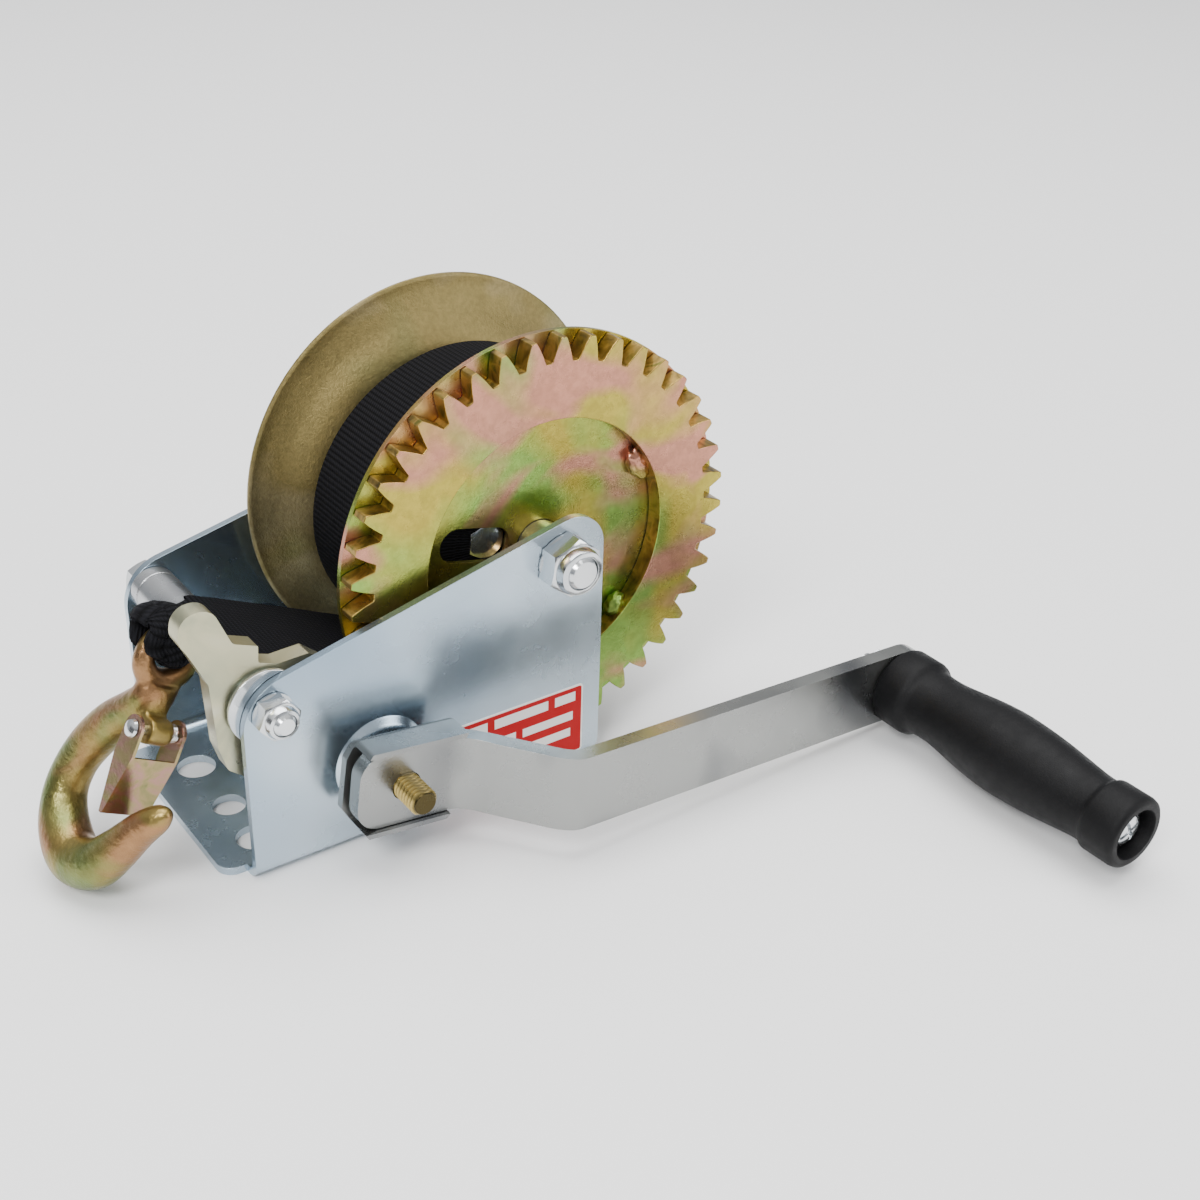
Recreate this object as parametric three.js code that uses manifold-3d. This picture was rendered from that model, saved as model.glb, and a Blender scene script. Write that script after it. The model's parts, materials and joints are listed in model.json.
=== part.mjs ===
// Boat trailer hand winch: a bent steel frame with a webbing drum, a spur gear drive, a ratchet with its
// pawl, a cranked handle with a free-turning grip, and a forged snap hook on the webbing's end.
//
// Millimetres, +Z up. X runs along the base, with the hook at the -X end. Y runs along the drum axle, with
// the gear and the crank on the -Y side. The origin is the centre of the base's underside.

import * as THREE from 'three';
import { mergeVertices } from 'three/addons/utils/BufferGeometryUtils.js';
import Module from 'manifold-3d';

const wasm = await Module();
wasm.setup();

// ---------- Driving dimensions ----------

const GAP = 0.3;                    // clearance between pieces that touch

// Frame: one U-shaped plate
const FRAME_WIDTH = 100;
const FRAME_LENGTH = 140;
const PLATE = 3;
const LIP = 8.5;                    // base plate beyond the side plates at each end
const FRONT_HEIGHT = 73.1;
const REAR_HEIGHT = 106.5;
const FRONT_CORNER_R = 18;
const REAR_CORNER_R = 13;
const BEND_R = 7;                   // outside of the bend between base and side plates
const LIP_CORNER_R = 6;
const BASE_HOLE_R = 7;
const BASE_MIDDLE_HOLE_R = 6;
const BASE_HOLE_X = 61;
const BASE_HOLES_Y = [-30, -8, 20];
const BOSS_R = 17;                  // round boss pressed outwards round the drive shaft
const BOSS_TOP_R = 13.5;
const BOSS_RISE = 2.5;
const OUTER = FRAME_WIDTH / 2;      // outside face of a side plate
const INNER = OUTER - PLATE;        // inside face of a side plate

// Axes, all parallel to Y, as [x, z]
const AXLE = [52.5, 88];
const TIE = [-59.8, 65.3];

// Bolts, bushings and tubes
const AXLE_BOLT_R = 6;
const TIE_BOLT_R = 4;
const AXLE_SLEEVE_R = 8.7;
const TIE_TUBE_R = 8.5;
const TIE_TUBE_END = 41;            // where the tube meets the short bush beside it
const PAWL_WASHER_R = 13.4;
const PAWL_SHIM_R = 12.2;
const PAWL_BORE_R = 6;
const BUSHING_R = 9.7;
const BUSHING_FLANGE_R = 11.6;
const BUSHING_FLANGE = 1.3;

// Gear drive
const MODULE = 3.65;
const GEAR_TEETH = 41;
const PINION_TEETH = 10;
const CENTRE_DISTANCE = MODULE * (GEAR_TEETH + PINION_TEETH) / 2;
const LINE_OF_CENTRES = deg(217); // from the axle towards the drive shaft
const SHAFT = [
  AXLE[0] + CENTRE_DISTANCE * Math.cos(LINE_OF_CENTRES),
  AXLE[1] + CENTRE_DISTANCE * Math.sin(LINE_OF_CENTRES),
];
const GEAR_TIP_R = 78.1;
const GEAR_ROOT_R = 69.6;
const GEAR_HOLE_R = 49;
const GEAR_FRONT = -41.5;
const GEAR_BACK = -34.6;
const GEAR_TOOTH_ANGLE = deg(-19.2); // where one tooth of the gear stands
const PINION_TIP_R = 21.4;
const PINION_ROOT_R = 14;

// Drum
const CORE_R = 12.5;
const CORE_BORE_R = 9;
const NEAR_DISC_R = 78.4;
const NEAR_DISC_FRONT = -34.3;
const DISC_PLATE = 2;
const FAR_DISC_R = 76.9;
const FAR_DISC_INSIDE = 27;
const ROLL_R = 57;
const ROLL_WIDTH = 54;                // webbing 50 wide, its turns wander a little
const WEBBING_WIDTH = 50;
const WEBBING = 1.2;
const ANCHOR_RADIUS = 20.1;
const ANCHOR_ANGLE = deg(167);
const ANCHOR_BOLT_R = 4;
const ANCHOR_HEAD = 5.3;

// Drive shaft, ratchet and pawl
const SHAFT_R = 8;
const STUB_R = 5;
const STUB_FLAT = 4;                // half the distance across the stub's flats
const STUB_END = -80.3;
const RATCHET_TEETH = 12;
const RATCHET_TIP_R = 24;
const RATCHET_ROOT_R = 19;
const RATCHET_FRONT = -46;
const RATCHET_BACK = -42;
const PAWL_WASHER_BACK = -45.2;
const PAWL_FRONT = -43.9;
const PAWL_BACK = -36.9;

// Crank
const BRACKET_TILT = deg(-7);       // bracket and inner end of the arm
const ARM_WIDTH = 28.8;
const ARM_PLATE = 6;
const ARM_INNER_FACE = -67.9;       // front face at the shaft
const ARM_OUTER_FACE = -99.6;       // front face at the grip
const ARM_BEND_START = 18;
const ARM_BEND_END = 49;
const ARM_KINK = 29;                // where the arm's edges change direction
const CRANK_RADIUS = 200.2;
const CRANK_ANGLE = deg(-3.65);     // from the shaft to the grip
const GRIP = [
  SHAFT[0] + CRANK_RADIUS * Math.cos(CRANK_ANGLE),
  SHAFT[1] + CRANK_RADIUS * Math.sin(CRANK_ANGLE),
];
const GRIP_LENGTH = 113;
const GRIP_BOLT_R = 4;

// Hook: it leans forwards on its bowl, with the eye held up by the webbing
const EYE = new THREE.Vector3(-79.3, -15.6, 75.5);
const HOOK_ACROSS = new THREE.Vector3(0.848, 0.113, -0.518).normalize();  // square to the bowl's plane
const HOOK_ALONG = new THREE.Vector3(0.511, 0.085, 0.855).normalize();    // from the bowl to the eye
const EYE_R = 9;                    // middle of the eye's round bar
const EYE_BAR_R = 3;
const LATCH_PIVOT = [8.5, -23.5];
const LATCH_PIN_R = 1.8;
const KNOB_R = 4.6;
const KNOB_HALF = 4.2;

// ---------- Solids ----------

function deg(degrees) {
  return degrees * Math.PI / 180;
}

function solid(geometry) {
  const bare = geometry.clone();
  bare.deleteAttribute('normal');
  bare.deleteAttribute('uv');
  const merged = mergeVertices(bare, 1e-4);
  return new wasm.Manifold(new wasm.Mesh({
    numProp: 3,
    vertProperties: new Float32Array(merged.attributes.position.array),
    triVerts: new Uint32Array(merged.index.array),
  }));
}

function geometryOf(body) {
  const mesh = body.getMesh();
  const geometry = new THREE.BufferGeometry();
  geometry.setAttribute('position', new THREE.BufferAttribute(new Float32Array(mesh.vertProperties), 3));
  geometry.setIndex(new THREE.BufferAttribute(new Uint32Array(mesh.triVerts), 1));
  return geometry;
}

function cutAll(body, tools) {
  return tools.reduce((rest, tool) => rest.subtract(tool), body);
}

function joinAll(bodies) {
  return bodies.reduce((sum, body) => sum.add(body));
}

// A cylinder or a cone along Y, from y0 to y1, centred on [x, z].
function rod([x, z], y0, y1, r0, r1 = r0, sides = 24) {
  const geometry = new THREE.CylinderGeometry(r1, r0, y1 - y0, sides);
  return solid(geometry.translate(x, (y0 + y1) / 2, z));
}

function tube(centre, y0, y1, outer, inner, sides = 24) {
  return rod(centre, y0, y1, outer, outer, sides).subtract(rod(centre, y0 - 1, y1 + 1, inner, inner, sides));
}

function hexagon(centre, y0, y1, acrossFlats, turn = 0) {
  const corner = acrossFlats / Math.sqrt(3);
  const geometry = new THREE.CylinderGeometry(corner, corner, y1 - y0, 6);
  return solid(geometry.rotateY(turn).translate(centre[0], (y0 + y1) / 2, centre[1]));
}

function box(x0, x1, y0, y1, z0, z1) {
  const geometry = new THREE.BoxGeometry(x1 - x0, y1 - y0, z1 - z0);
  return solid(geometry.translate((x0 + x1) / 2, (y0 + y1) / 2, (z0 + z1) / 2));
}

// A flat plate whose outline is drawn in X and Z, from y0 to y1.
function slab(shape, y0, y1, curveSegments = 8) {
  const geometry = new THREE.ExtrudeGeometry(shape, { depth: y1 - y0, bevelEnabled: false, curveSegments });
  return solid(geometry.rotateX(Math.PI / 2).translate(0, y1, 0));
}

// A flat plate whose outline is drawn in X and Y, from z0 to z1.
function floor(shape, z0, z1, curveSegments = 8) {
  const geometry = new THREE.ExtrudeGeometry(shape, { depth: z1 - z0, bevelEnabled: false, curveSegments });
  return solid(geometry.translate(0, 0, z0));
}

// A turned piece about the Y axis through [x, z]; the profile is a closed list of [radius, y].
function turned([x, z], profile, sides) {
  const closed = [...profile, profile[0]].map(([radius, y]) => new THREE.Vector2(radius, y));
  return solid(new THREE.LatheGeometry(closed, sides).translate(x, 0, z));
}

// An outline through the given corners, each [a, b, corner radius].
function roundedOutline(corners, steps = 6) {
  const points = [];
  corners.forEach(([x, y, radius = 0], i) => {
    const here = new THREE.Vector2(x, y);
    if (radius === 0) {
      points.push(here);
      return;
    }
    const before = corners[(i + corners.length - 1) % corners.length];
    const after = corners[(i + 1) % corners.length];
    const back = new THREE.Vector2(before[0], before[1]).sub(here).normalize();
    const on = new THREE.Vector2(after[0], after[1]).sub(here).normalize();
    const half = Math.acos(back.dot(on)) / 2;
    const centre = here.clone().add(back.clone().add(on).normalize().multiplyScalar(radius / Math.sin(half)));
    const first = here.clone().add(back.clone().multiplyScalar(radius / Math.tan(half))).sub(centre);
    const last = here.clone().add(on.clone().multiplyScalar(radius / Math.tan(half))).sub(centre);
    const turn = Math.atan2(first.x * last.y - first.y * last.x, first.dot(last));
    for (let k = 0; k <= steps; k += 1) {
      points.push(first.clone().rotateAround(new THREE.Vector2(), turn * k / steps).add(centre));
    }
  });
  return new THREE.Shape(points);
}

// ---------- Assembly ----------

const winch = new THREE.Group();

const LOOKS = {
  zinc: { color: 0xb9c6d2, roughness: 0.32, metalness: 0.9 },
  bright_zinc: { color: 0xd8dadb, roughness: 0.28, metalness: 0.95 },
  arm_zinc: { color: 0xcfd0cc, roughness: 0.4, metalness: 0.85 },
  yellow_zinc: { color: 0xb3a553, roughness: 0.35, metalness: 0.9 },
  drum_zinc: { color: 0x9a8d5c, roughness: 0.55, metalness: 0.8 },
  hook_zinc: { color: 0xa88d4a, roughness: 0.42, metalness: 0.9 },
  pawl_zinc: { color: 0xc9c29a, roughness: 0.45, metalness: 0.8 },
  webbing: { color: 0x131316, roughness: 0.9, metalness: 0 },
  plastic: { color: 0x1b1b1c, roughness: 0.6, metalness: 0 },
  label: { color: 0xd8342c, roughness: 0.4, metalness: 0 },
};

function addPiece(name, look, body) {
  const mesh = new THREE.Mesh(geometryOf(body), new THREE.MeshStandardMaterial(LOOKS[look]));
  mesh.name = name;
  winch.add(mesh);
}

// ---------- Frame ----------

// A cone along Y, wide at its inner end and narrow at its outer end; low and high are distances from the
// middle plane, on the given side of it.
function outwardCone(centre, side, low, high, wide, narrow, sides = 24) {
  if (side > 0) {
    return rod(centre, low, high, wide, narrow, sides);
  }
  return rod(centre, -high, -low, narrow, wide, sides);
}

// The boss's dome, and the hollow behind it.
function boss(side) {
  const dome = outwardCone(SHAFT, side, OUTER - 1, OUTER + BOSS_RISE, BOSS_R, BOSS_TOP_R);
  const hollow = outwardCone(SHAFT, side, INNER - 0.01, INNER + BOSS_RISE, BOSS_R - 2.5, BOSS_TOP_R - 2);
  return { dome, hollow };
}

function frame() {
  const half = FRAME_LENGTH / 2;
  const profile = roundedOutline([
    [-OUTER, 0, BEND_R],
    [OUTER, 0, BEND_R],
    [OUTER, 120],
    [INNER, 120],
    [INNER, PLATE, BEND_R - PLATE],
    [-INNER, PLATE, BEND_R - PLATE],
    [-INNER, 120],
    [-OUTER, 120],
  ], 4);
  const channel = new THREE.ExtrudeGeometry(profile, { depth: FRAME_LENGTH, bevelEnabled: false });
  channel.rotateX(Math.PI / 2).rotateZ(Math.PI / 2).translate(-half, 0, 0);
  const side = roundedOutline([
    [-half, -1],
    [half, -1],
    [half, REAR_HEIGHT, REAR_CORNER_R],
    [-half, FRONT_HEIGHT, FRONT_CORNER_R],
  ], 6);
  const lipEdge = OUTER - BEND_R;
  const base = roundedOutline([
    [-half - LIP, -lipEdge, LIP_CORNER_R],
    [half + LIP, -lipEdge, LIP_CORNER_R],
    [half + LIP, lipEdge, LIP_CORNER_R],
    [-half - LIP, lipEdge, LIP_CORNER_R],
  ], 4);
  let body = solid(channel).intersect(slab(side, -OUTER - 5, OUTER + 5)).add(floor(base, 0, PLATE));
  for (const end of [-1, 1]) {
    const { dome, hollow } = boss(end);
    body = body.add(dome).subtract(hollow);
  }
  const bores = [
    rod(SHAFT, -OUTER - 5, OUTER + 5, BUSHING_R + GAP),
    rod(AXLE, -OUTER - 5, OUTER + 5, AXLE_BOLT_R + GAP),
    rod(TIE, -OUTER - 5, OUTER + 5, TIE_BOLT_R + GAP),
  ];
  return cutAll(body, [...bores, ...baseHoles()]);
}

// Bolt holes in the base: a row of three near each end.
function baseHoles() {
  const holes = [];
  for (const x of [-BASE_HOLE_X, BASE_HOLE_X]) {
    for (const y of BASE_HOLES_Y) {
      holes.push(uprightHole(x, y, y === BASE_HOLES_Y[1] ? BASE_MIDDLE_HOLE_R : BASE_HOLE_R));
    }
  }
  return holes;
}

function uprightHole(x, y, radius) {
  const geometry = new THREE.CylinderGeometry(radius, radius, PLATE + 4, 20);
  return solid(geometry.rotateX(Math.PI / 2).translate(x, y, PLATE / 2));
}

addPiece('frame', 'zinc', frame());

// A label stuck on the near side plate, clear of the crank's bushing.
const LABEL = { left: -2, right: 62.5, bottom: 4.5, top: 34, thick: 0.25 };
addPiece('label', 'label', slab(roundedOutline([
  [LABEL.left, LABEL.bottom, 1.5],
  [LABEL.right, LABEL.bottom, 1.5],
  [LABEL.right, LABEL.top, 1.5],
  [LABEL.left, LABEL.top, 1.5],
], 3), -OUTER - 0.1 - LABEL.thick, -OUTER - 0.1));

// Flanged bushings that carry the drive shaft in both side plates.
function bushing(side) {
  const inner = side * (INNER - 0.2);
  const seat = side * (OUTER + BOSS_RISE + GAP);
  const outer = seat + side * BUSHING_FLANGE;
  const [y0, y1] = [Math.min(inner, outer), Math.max(inner, outer)];
  const [f0, f1] = [Math.min(seat, outer), Math.max(seat, outer)];
  return rod(SHAFT, y0, y1, BUSHING_R)
    .add(rod(SHAFT, f0, f1, BUSHING_FLANGE_R))
    .subtract(rod(SHAFT, y0 - 1, y1 + 1, SHAFT_R + GAP));
}

addPiece('shaft_bushing_near', 'zinc', bushing(-1));
addPiece('shaft_bushing_far', 'zinc', bushing(1));

// ---------- Fasteners ----------

function hexBolt(centre, radius, acrossFlats, headHeight, end) {
  const head = OUTER + GAP;
  return hexagon(centre, head, head + headHeight, acrossFlats, deg(10))
    .add(rod(centre, end + 1, head + 1, radius, radius, 24))
    .add(rod(centre, end, end + 1, radius - 0.9, radius, 24));
}

function lockNut(centre, bore, acrossFlats, hexHeight, collarHeight, turn) {
  const seat = -OUTER - GAP;
  const collar = acrossFlats / 2 - 0.6;
  return hexagon(centre, seat - hexHeight, seat, acrossFlats, turn)
    .add(rod(centre, seat - hexHeight - collarHeight, seat - hexHeight + 1, collar - 0.8, collar, 24))
    .subtract(rod(centre, seat - 30, seat + 1, bore + GAP, bore + GAP, 24));
}

addPiece('axle_bolt', 'bright_zinc', hexBolt(AXLE, AXLE_BOLT_R, 18, 7.5, -63.6));
addPiece('axle_nut', 'bright_zinc', lockNut(AXLE, AXLE_BOLT_R, 19, 8.5, 3.8, deg(8)));
addPiece('axle_sleeve', 'bright_zinc',
  tube(AXLE, -INNER + GAP, INNER - GAP, AXLE_SLEEVE_R, AXLE_BOLT_R + GAP));
addPiece('tie_bolt', 'bright_zinc', hexBolt(TIE, TIE_BOLT_R, 13, 5.5, -60.6));
addPiece('tie_nut', 'bright_zinc', lockNut(TIE, TIE_BOLT_R, 13, 6.5, 2.8, deg(20)));

function onTie(y0, y1, radius, sides = 24) {
  return tube(TIE, y0, y1, radius, TIE_BOLT_R + GAP, sides);
}

addPiece('tie_bush', 'bright_zinc', onTie(TIE_TUBE_END, INNER - GAP, TIE_TUBE_R));
addPiece('tie_tube', 'bright_zinc', onTie(PAWL_BACK + GAP, TIE_TUBE_END - GAP, TIE_TUBE_R));
addPiece('pawl_washer', 'bright_zinc', onTie(-INNER + GAP, PAWL_WASHER_BACK, PAWL_WASHER_R, 28));
addPiece('pawl_shim', 'zinc', onTie(PAWL_WASHER_BACK + GAP, PAWL_FRONT - GAP, PAWL_SHIM_R, 28));
addPiece('pawl_sleeve', 'zinc', onTie(PAWL_FRONT, PAWL_BACK, PAWL_BORE_R));

// ---------- Drum ----------

// Outline of a spur gear in X and Z; the flanks are involute-like, with the given tooth widths.
function gearShape(centre, teeth, widths, toothAngle) {
  const points = [];
  for (let i = 0; i < teeth; i += 1) {
    const middle = toothAngle + i * 2 * Math.PI / teeth;
    const rising = widths.map(([radius, width]) => [radius, -width / (2 * radius)]);
    const falling = widths.map(([radius, width]) => [radius, width / (2 * radius)]).reverse();
    for (const [radius, offset] of [...rising, ...falling]) {
      points.push(new THREE.Vector2(
        centre[0] + radius * Math.cos(middle + offset),
        centre[1] + radius * Math.sin(middle + offset),
      ));
    }
  }
  return new THREE.Shape(points);
}

const GEAR_FLANK = [[GEAR_ROOT_R, 8.3], [74.2, 5.3], [GEAR_TIP_R, 2.4]];
const PINION_FLANK = [[PINION_ROOT_R, 5.2], [16.4, 5.4], [18.6, 4.6], [PINION_TIP_R, 1.9]];

function gearRing() {
  const wheel = slab(gearShape(AXLE, GEAR_TEETH, GEAR_FLANK, GEAR_TOOTH_ANGLE), GEAR_FRONT, GEAR_BACK);
  return wheel.subtract(rod(AXLE, GEAR_FRONT - 1, GEAR_BACK + 1, GEAR_HOLE_R, GEAR_HOLE_R, 48));
}

// Slot in the near disc through which the head of the webbing's anchor bolt is reached.
function anchorSlot(y0, y1) {
  const halfWidth = 6.4;
  const [from, to] = [19, 34.5];
  const [cosine, sine] = [Math.cos(ANCHOR_ANGLE), Math.sin(ANCHOR_ANGLE)];
  const at = (radius) => [AXLE[0] + radius * cosine, AXLE[1] + radius * sine];
  const bar = new THREE.BoxGeometry(to - from, y1 - y0, 2 * halfWidth).rotateY(-ANCHOR_ANGLE);
  const middle = at((from + to) / 2);
  bar.translate(middle[0], (y0 + y1) / 2, middle[1]);
  const ends = [from, to].map((radius) => rod(at(radius), y0, y1, halfWidth, halfWidth, 24));
  return joinAll([...ends, solid(bar)]);
}

function nearDisc() {
  const disc = rod(AXLE, NEAR_DISC_FRONT, NEAR_DISC_FRONT + DISC_PLATE, NEAR_DISC_R, NEAR_DISC_R, 60);
  const hub = rod(AXLE, -40, -30, CORE_BORE_R, CORE_BORE_R, 32);
  return cutAll(disc, [hub, anchorSlot(-40, -30)]);
}

// The far flange is flat at the hub and flares outwards to its rim.
function farDisc() {
  const face = FAR_DISC_INSIDE;
  const flare = [[58, face + 2.9], [65.5, face + 7.9], [FAR_DISC_R - 1, face + 11.4]];
  const inside = [[CORE_BORE_R, face], [51, face], ...flare];
  const outside = inside.map(([radius, y]) => [radius, y + DISC_PLATE]).reverse();
  return turned(AXLE, [...inside, [FAR_DISC_R, face + 12.4], ...outside], 48)
    .subtract(anchorRod(0, 60, ANCHOR_BOLT_R + GAP));
}

const ANCHOR = [
  AXLE[0] + ANCHOR_RADIUS * Math.cos(ANCHOR_ANGLE),
  AXLE[1] + ANCHOR_RADIUS * Math.sin(ANCHOR_ANGLE),
];

function anchorRod(y0, y1, radius) {
  return rod(ANCHOR, y0, y1, radius, radius, 24);
}

function anchorBolt() {
  const end = FAR_DISC_INSIDE + DISC_PLATE + 9;
  return hexagon(ANCHOR, DRUM_START, DRUM_START + ANCHOR_HEAD, 13, deg(4))
    .add(anchorRod(DRUM_START + 5, end, ANCHOR_BOLT_R));
}

const DRUM_START = NEAR_DISC_FRONT + DISC_PLATE + GAP;
const DRUM_END = FAR_DISC_INSIDE - GAP;

function roll() {
  const winding = tube(AXLE, DRUM_START + 0.1, DRUM_START + 0.1 + ROLL_WIDTH, ROLL_R, CORE_R + GAP, 48);
  const pocket = hexagon(ANCHOR, DRUM_START - 1, DRUM_START + ANCHOR_HEAD + GAP, 13 + 2 * GAP, deg(4));
  return cutAll(winding, [anchorRod(DRUM_START - 1, DRUM_END + 1, ANCHOR_BOLT_R + GAP), pocket]);
}

addPiece('gear_ring', 'yellow_zinc', gearRing());
addPiece('drum_disc_near', 'yellow_zinc', nearDisc());
addPiece('drum_disc_far', 'drum_zinc', farDisc());
addPiece('drum_core', 'drum_zinc', tube(AXLE, DRUM_START, DRUM_END, CORE_R, CORE_BORE_R));
addPiece('strap_anchor_bolt', 'bright_zinc', anchorBolt());
addPiece('strap_anchor_nut', 'bright_zinc', hexagon(ANCHOR, FAR_DISC_INSIDE + DISC_PLATE + GAP,
  FAR_DISC_INSIDE + DISC_PLATE + GAP + 6.5, 13).subtract(anchorRod(0, 60, ANCHOR_BOLT_R + GAP)));
addPiece('strap_roll', 'webbing', roll());

// ---------- Drive shaft, pinion and ratchet ----------

function turnedAbout([x, z], angle, body) {
  // Turns a body about the Y axis through [x, z]; a positive angle carries X towards Z.
  return body.translate([-x, 0, -z]).rotate([0, -angle * 180 / Math.PI, 0]).translate([x, 0, z]);
}

// The stub's two flats are parallel to the bracket.
function stub(y0, y1, radius, flat) {
  const round = rod(SHAFT, y0, y1, radius, radius, 28);
  const width = radius + 1;
  const trim = box(SHAFT[0] - width, SHAFT[0] + width, y0, y1, SHAFT[1] - flat, SHAFT[1] + flat);
  return turnedAbout(SHAFT, BRACKET_TILT, round.intersect(trim));
}

const SHAFT_SHOULDER = -55.7;
const CLIP = [54.6, 55.8];

function driveShaft() {
  const groove = tube(SHAFT, CLIP[0] - GAP, CLIP[1] + GAP, SHAFT_R + 1, SHAFT_R - 1.2);
  const tip = rod(SHAFT, STUB_END - 1, STUB_END + 1, STUB_R - 1.4, STUB_R + 0.6, 28);
  const shank = stub(STUB_END + 1, SHAFT_SHOULDER + 1, STUB_R, STUB_FLAT);
  const nose = stub(STUB_END, STUB_END + 1.5, STUB_R, STUB_FLAT).intersect(tip);
  return joinAll([rod(SHAFT, SHAFT_SHOULDER, 58, SHAFT_R), shank, nose]).subtract(groove);
}

function pinion() {
  // One gap of the pinion faces the gear tooth nearest to the line of centres.
  const step = 2 * Math.PI / GEAR_TEETH;
  const nearest = Math.round((LINE_OF_CENTRES - GEAR_TOOTH_ANGLE) / step);
  const lead = GEAR_TOOTH_ANGLE + nearest * step - LINE_OF_CENTRES;
  const gapAngle = LINE_OF_CENTRES + Math.PI - lead * GEAR_TEETH / PINION_TEETH;
  const shape = gearShape(SHAFT, PINION_TEETH, PINION_FLANK, gapAngle + Math.PI / PINION_TEETH);
  return slab(shape, GEAR_FRONT + 0.1, GEAR_BACK - GAP).subtract(rod(SHAFT, -60, 0, SHAFT_R + GAP));
}

// Saw teeth: the steep side leads, because the load turns the shaft that way.
function ratchet() {
  const points = [];
  for (let i = 0; i < RATCHET_TEETH; i += 1) {
    const start = i * 2 * Math.PI / RATCHET_TEETH;
    const step = 2 * Math.PI / RATCHET_TEETH;
    for (const [radius, part] of [[RATCHET_ROOT_R, 0.04], [RATCHET_TIP_R, 0.78], [RATCHET_TIP_R, 0.98]]) {
      const angle = start + part * step;
      const [x, z] = [SHAFT[0] + radius * Math.cos(angle), SHAFT[1] + radius * Math.sin(angle)];
      points.push(new THREE.Vector2(x, z));
    }
  }
  const bore = rod(SHAFT, -60, 0, SHAFT_R + GAP);
  return slab(new THREE.Shape(points), RATCHET_FRONT, RATCHET_BACK).subtract(bore);
}

addPiece('drive_shaft', 'yellow_zinc', driveShaft());
addPiece('pinion', 'yellow_zinc', pinion());
addPiece('ratchet_wheel', 'yellow_zinc', ratchet());
addPiece('shaft_spacer', 'zinc', tube(SHAFT, GEAR_BACK, INNER - 0.8, 10.5, SHAFT_R + GAP));
addPiece('shaft_clip', 'zinc', tube(SHAFT, CLIP[0], CLIP[1], 11, SHAFT_R - 1.2 + GAP));

// ---------- Pawl ----------

function pawl() {
  const [x, z] = TIE;
  const outline = roundedOutline([
    [x - 26.4, z + 31, 6.2],
    [x - 23.2, z + 25, 3],
    [x - 17.8, z + 13, 3],
    [x - 16.6, z - 12, 2],
    [x - 14, z - 21, 2],
    [x - 7, z - 27, 2],
    [x - 1, z - 22, 2],
    [x + 3, z - 13.5, 3],
    [x + 20, z - 5.5, 3],
    [x + 27.2, z - 9.3],
    [x + 24.5, z + 7, 2],
    [x + 17, z + 13.4, 1],
    [x + 6, z + 13],
    [x - 0.6, z + 15.5, 1],
    [x - 0.2, z + 21.6, 0.6],
    [x - 8.6, z + 25, 3],
    [x - 14.5, z + 39.6, 6.4],
    [x - 24.6, z + 39.6, 6.2],
  ], 4);
  const bore = rod(TIE, -60, 0, PAWL_BORE_R + GAP, PAWL_BORE_R + GAP, 28);
  return slab(outline, PAWL_FRONT, PAWL_BACK).subtract(bore);
}

addPiece('pawl', 'pawl_zinc', pawl());

// Torsion spring behind the pawl: a close coil round the tie tube, drawn as one sleeve with its leg.
function pawlSpring() {
  const [outside, inside] = [TIE_TUBE_R + 2.3, TIE_TUBE_R + GAP];
  const start = PAWL_BACK + 0.4;
  const coil = tube(TIE, start, PAWL_BACK + 4.6, outside, inside, 32);
  const leg = box(TIE[0] - outside, TIE[0] - outside + 1.8, start, start + 1.8, TIE[1] - 18, TIE[1]);
  return coil.add(leg);
}

addPiece('pawl_spring', 'bright_zinc', pawlSpring());

// ---------- Crank ----------

// A point in the crank's plane: u along the arm from the shaft, w across it, y towards the far side.
function crankPoint(u, w, y, tilt) {
  return new THREE.Vector3(
    SHAFT[0] + u * Math.cos(tilt) - w * Math.sin(tilt),
    y,
    SHAFT[1] + u * Math.sin(tilt) + w * Math.cos(tilt),
  );
}

const WEB_BACK = -56;
const WEB_FRONT = -59;
const FLANGE_EDGE = -69.9;
const FLANGE = 1.8;

function bracket() {
  const inside = ARM_WIDTH / 2 + GAP;
  const outside = inside + FLANGE;
  const ring = roundedOutline([
    [-outside, WEB_BACK, 4],
    [-outside, FLANGE_EDGE],
    [-inside, FLANGE_EDGE],
    [-inside, WEB_FRONT, 1.4],
    [inside, WEB_FRONT, 1.4],
    [inside, FLANGE_EDGE],
    [outside, FLANGE_EDGE],
    [outside, WEB_BACK, 4],
  ], 3);
  // The channel's section is drawn across the arm (w) and along Y, and run along the arm (u).
  const length = 41;
  const channel = new THREE.ExtrudeGeometry(ring, { depth: length, bevelEnabled: false });
  const place = new THREE.Matrix4().makeBasis(
    new THREE.Vector3(-Math.sin(BRACKET_TILT), 0, Math.cos(BRACKET_TILT)),
    new THREE.Vector3(0, 1, 0),
    new THREE.Vector3(-Math.cos(BRACKET_TILT), 0, -Math.sin(BRACKET_TILT)),
  );
  const start = crankPoint(22, 0, 0, BRACKET_TILT);
  place.setPosition(start);
  channel.applyMatrix4(place);
  const [x, z] = SHAFT;
  const side = roundedOutline([
    [x - 19, z - outside + 7, 2],
    [x - 14, z - outside - 0.01],
    [x + 16, z - outside - 0.01, 1],
    [x + 20, z - outside + 5, 1],
    [x + 20, z + outside - 4, 1],
    [x + 21.5, z + outside + 0.01],
    [x - 15, z + outside + 0.01, 1],
    [x - 18.5, z + outside - 7, 2],
  ], 3);
  const trim = turnedAbout(SHAFT, BRACKET_TILT, slab(side, FLANGE_EDGE - 2, WEB_BACK + 2));
  return solid(channel).intersect(trim).subtract(stub(-80, -50, STUB_R + GAP, STUB_FLAT + GAP));
}

addPiece('crank_bracket', 'arm_zinc', bracket());
addPiece('crank_washer', 'zinc', tube(SHAFT, -61.6, WEB_FRONT - GAP, 10, STUB_R + GAP));

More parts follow.
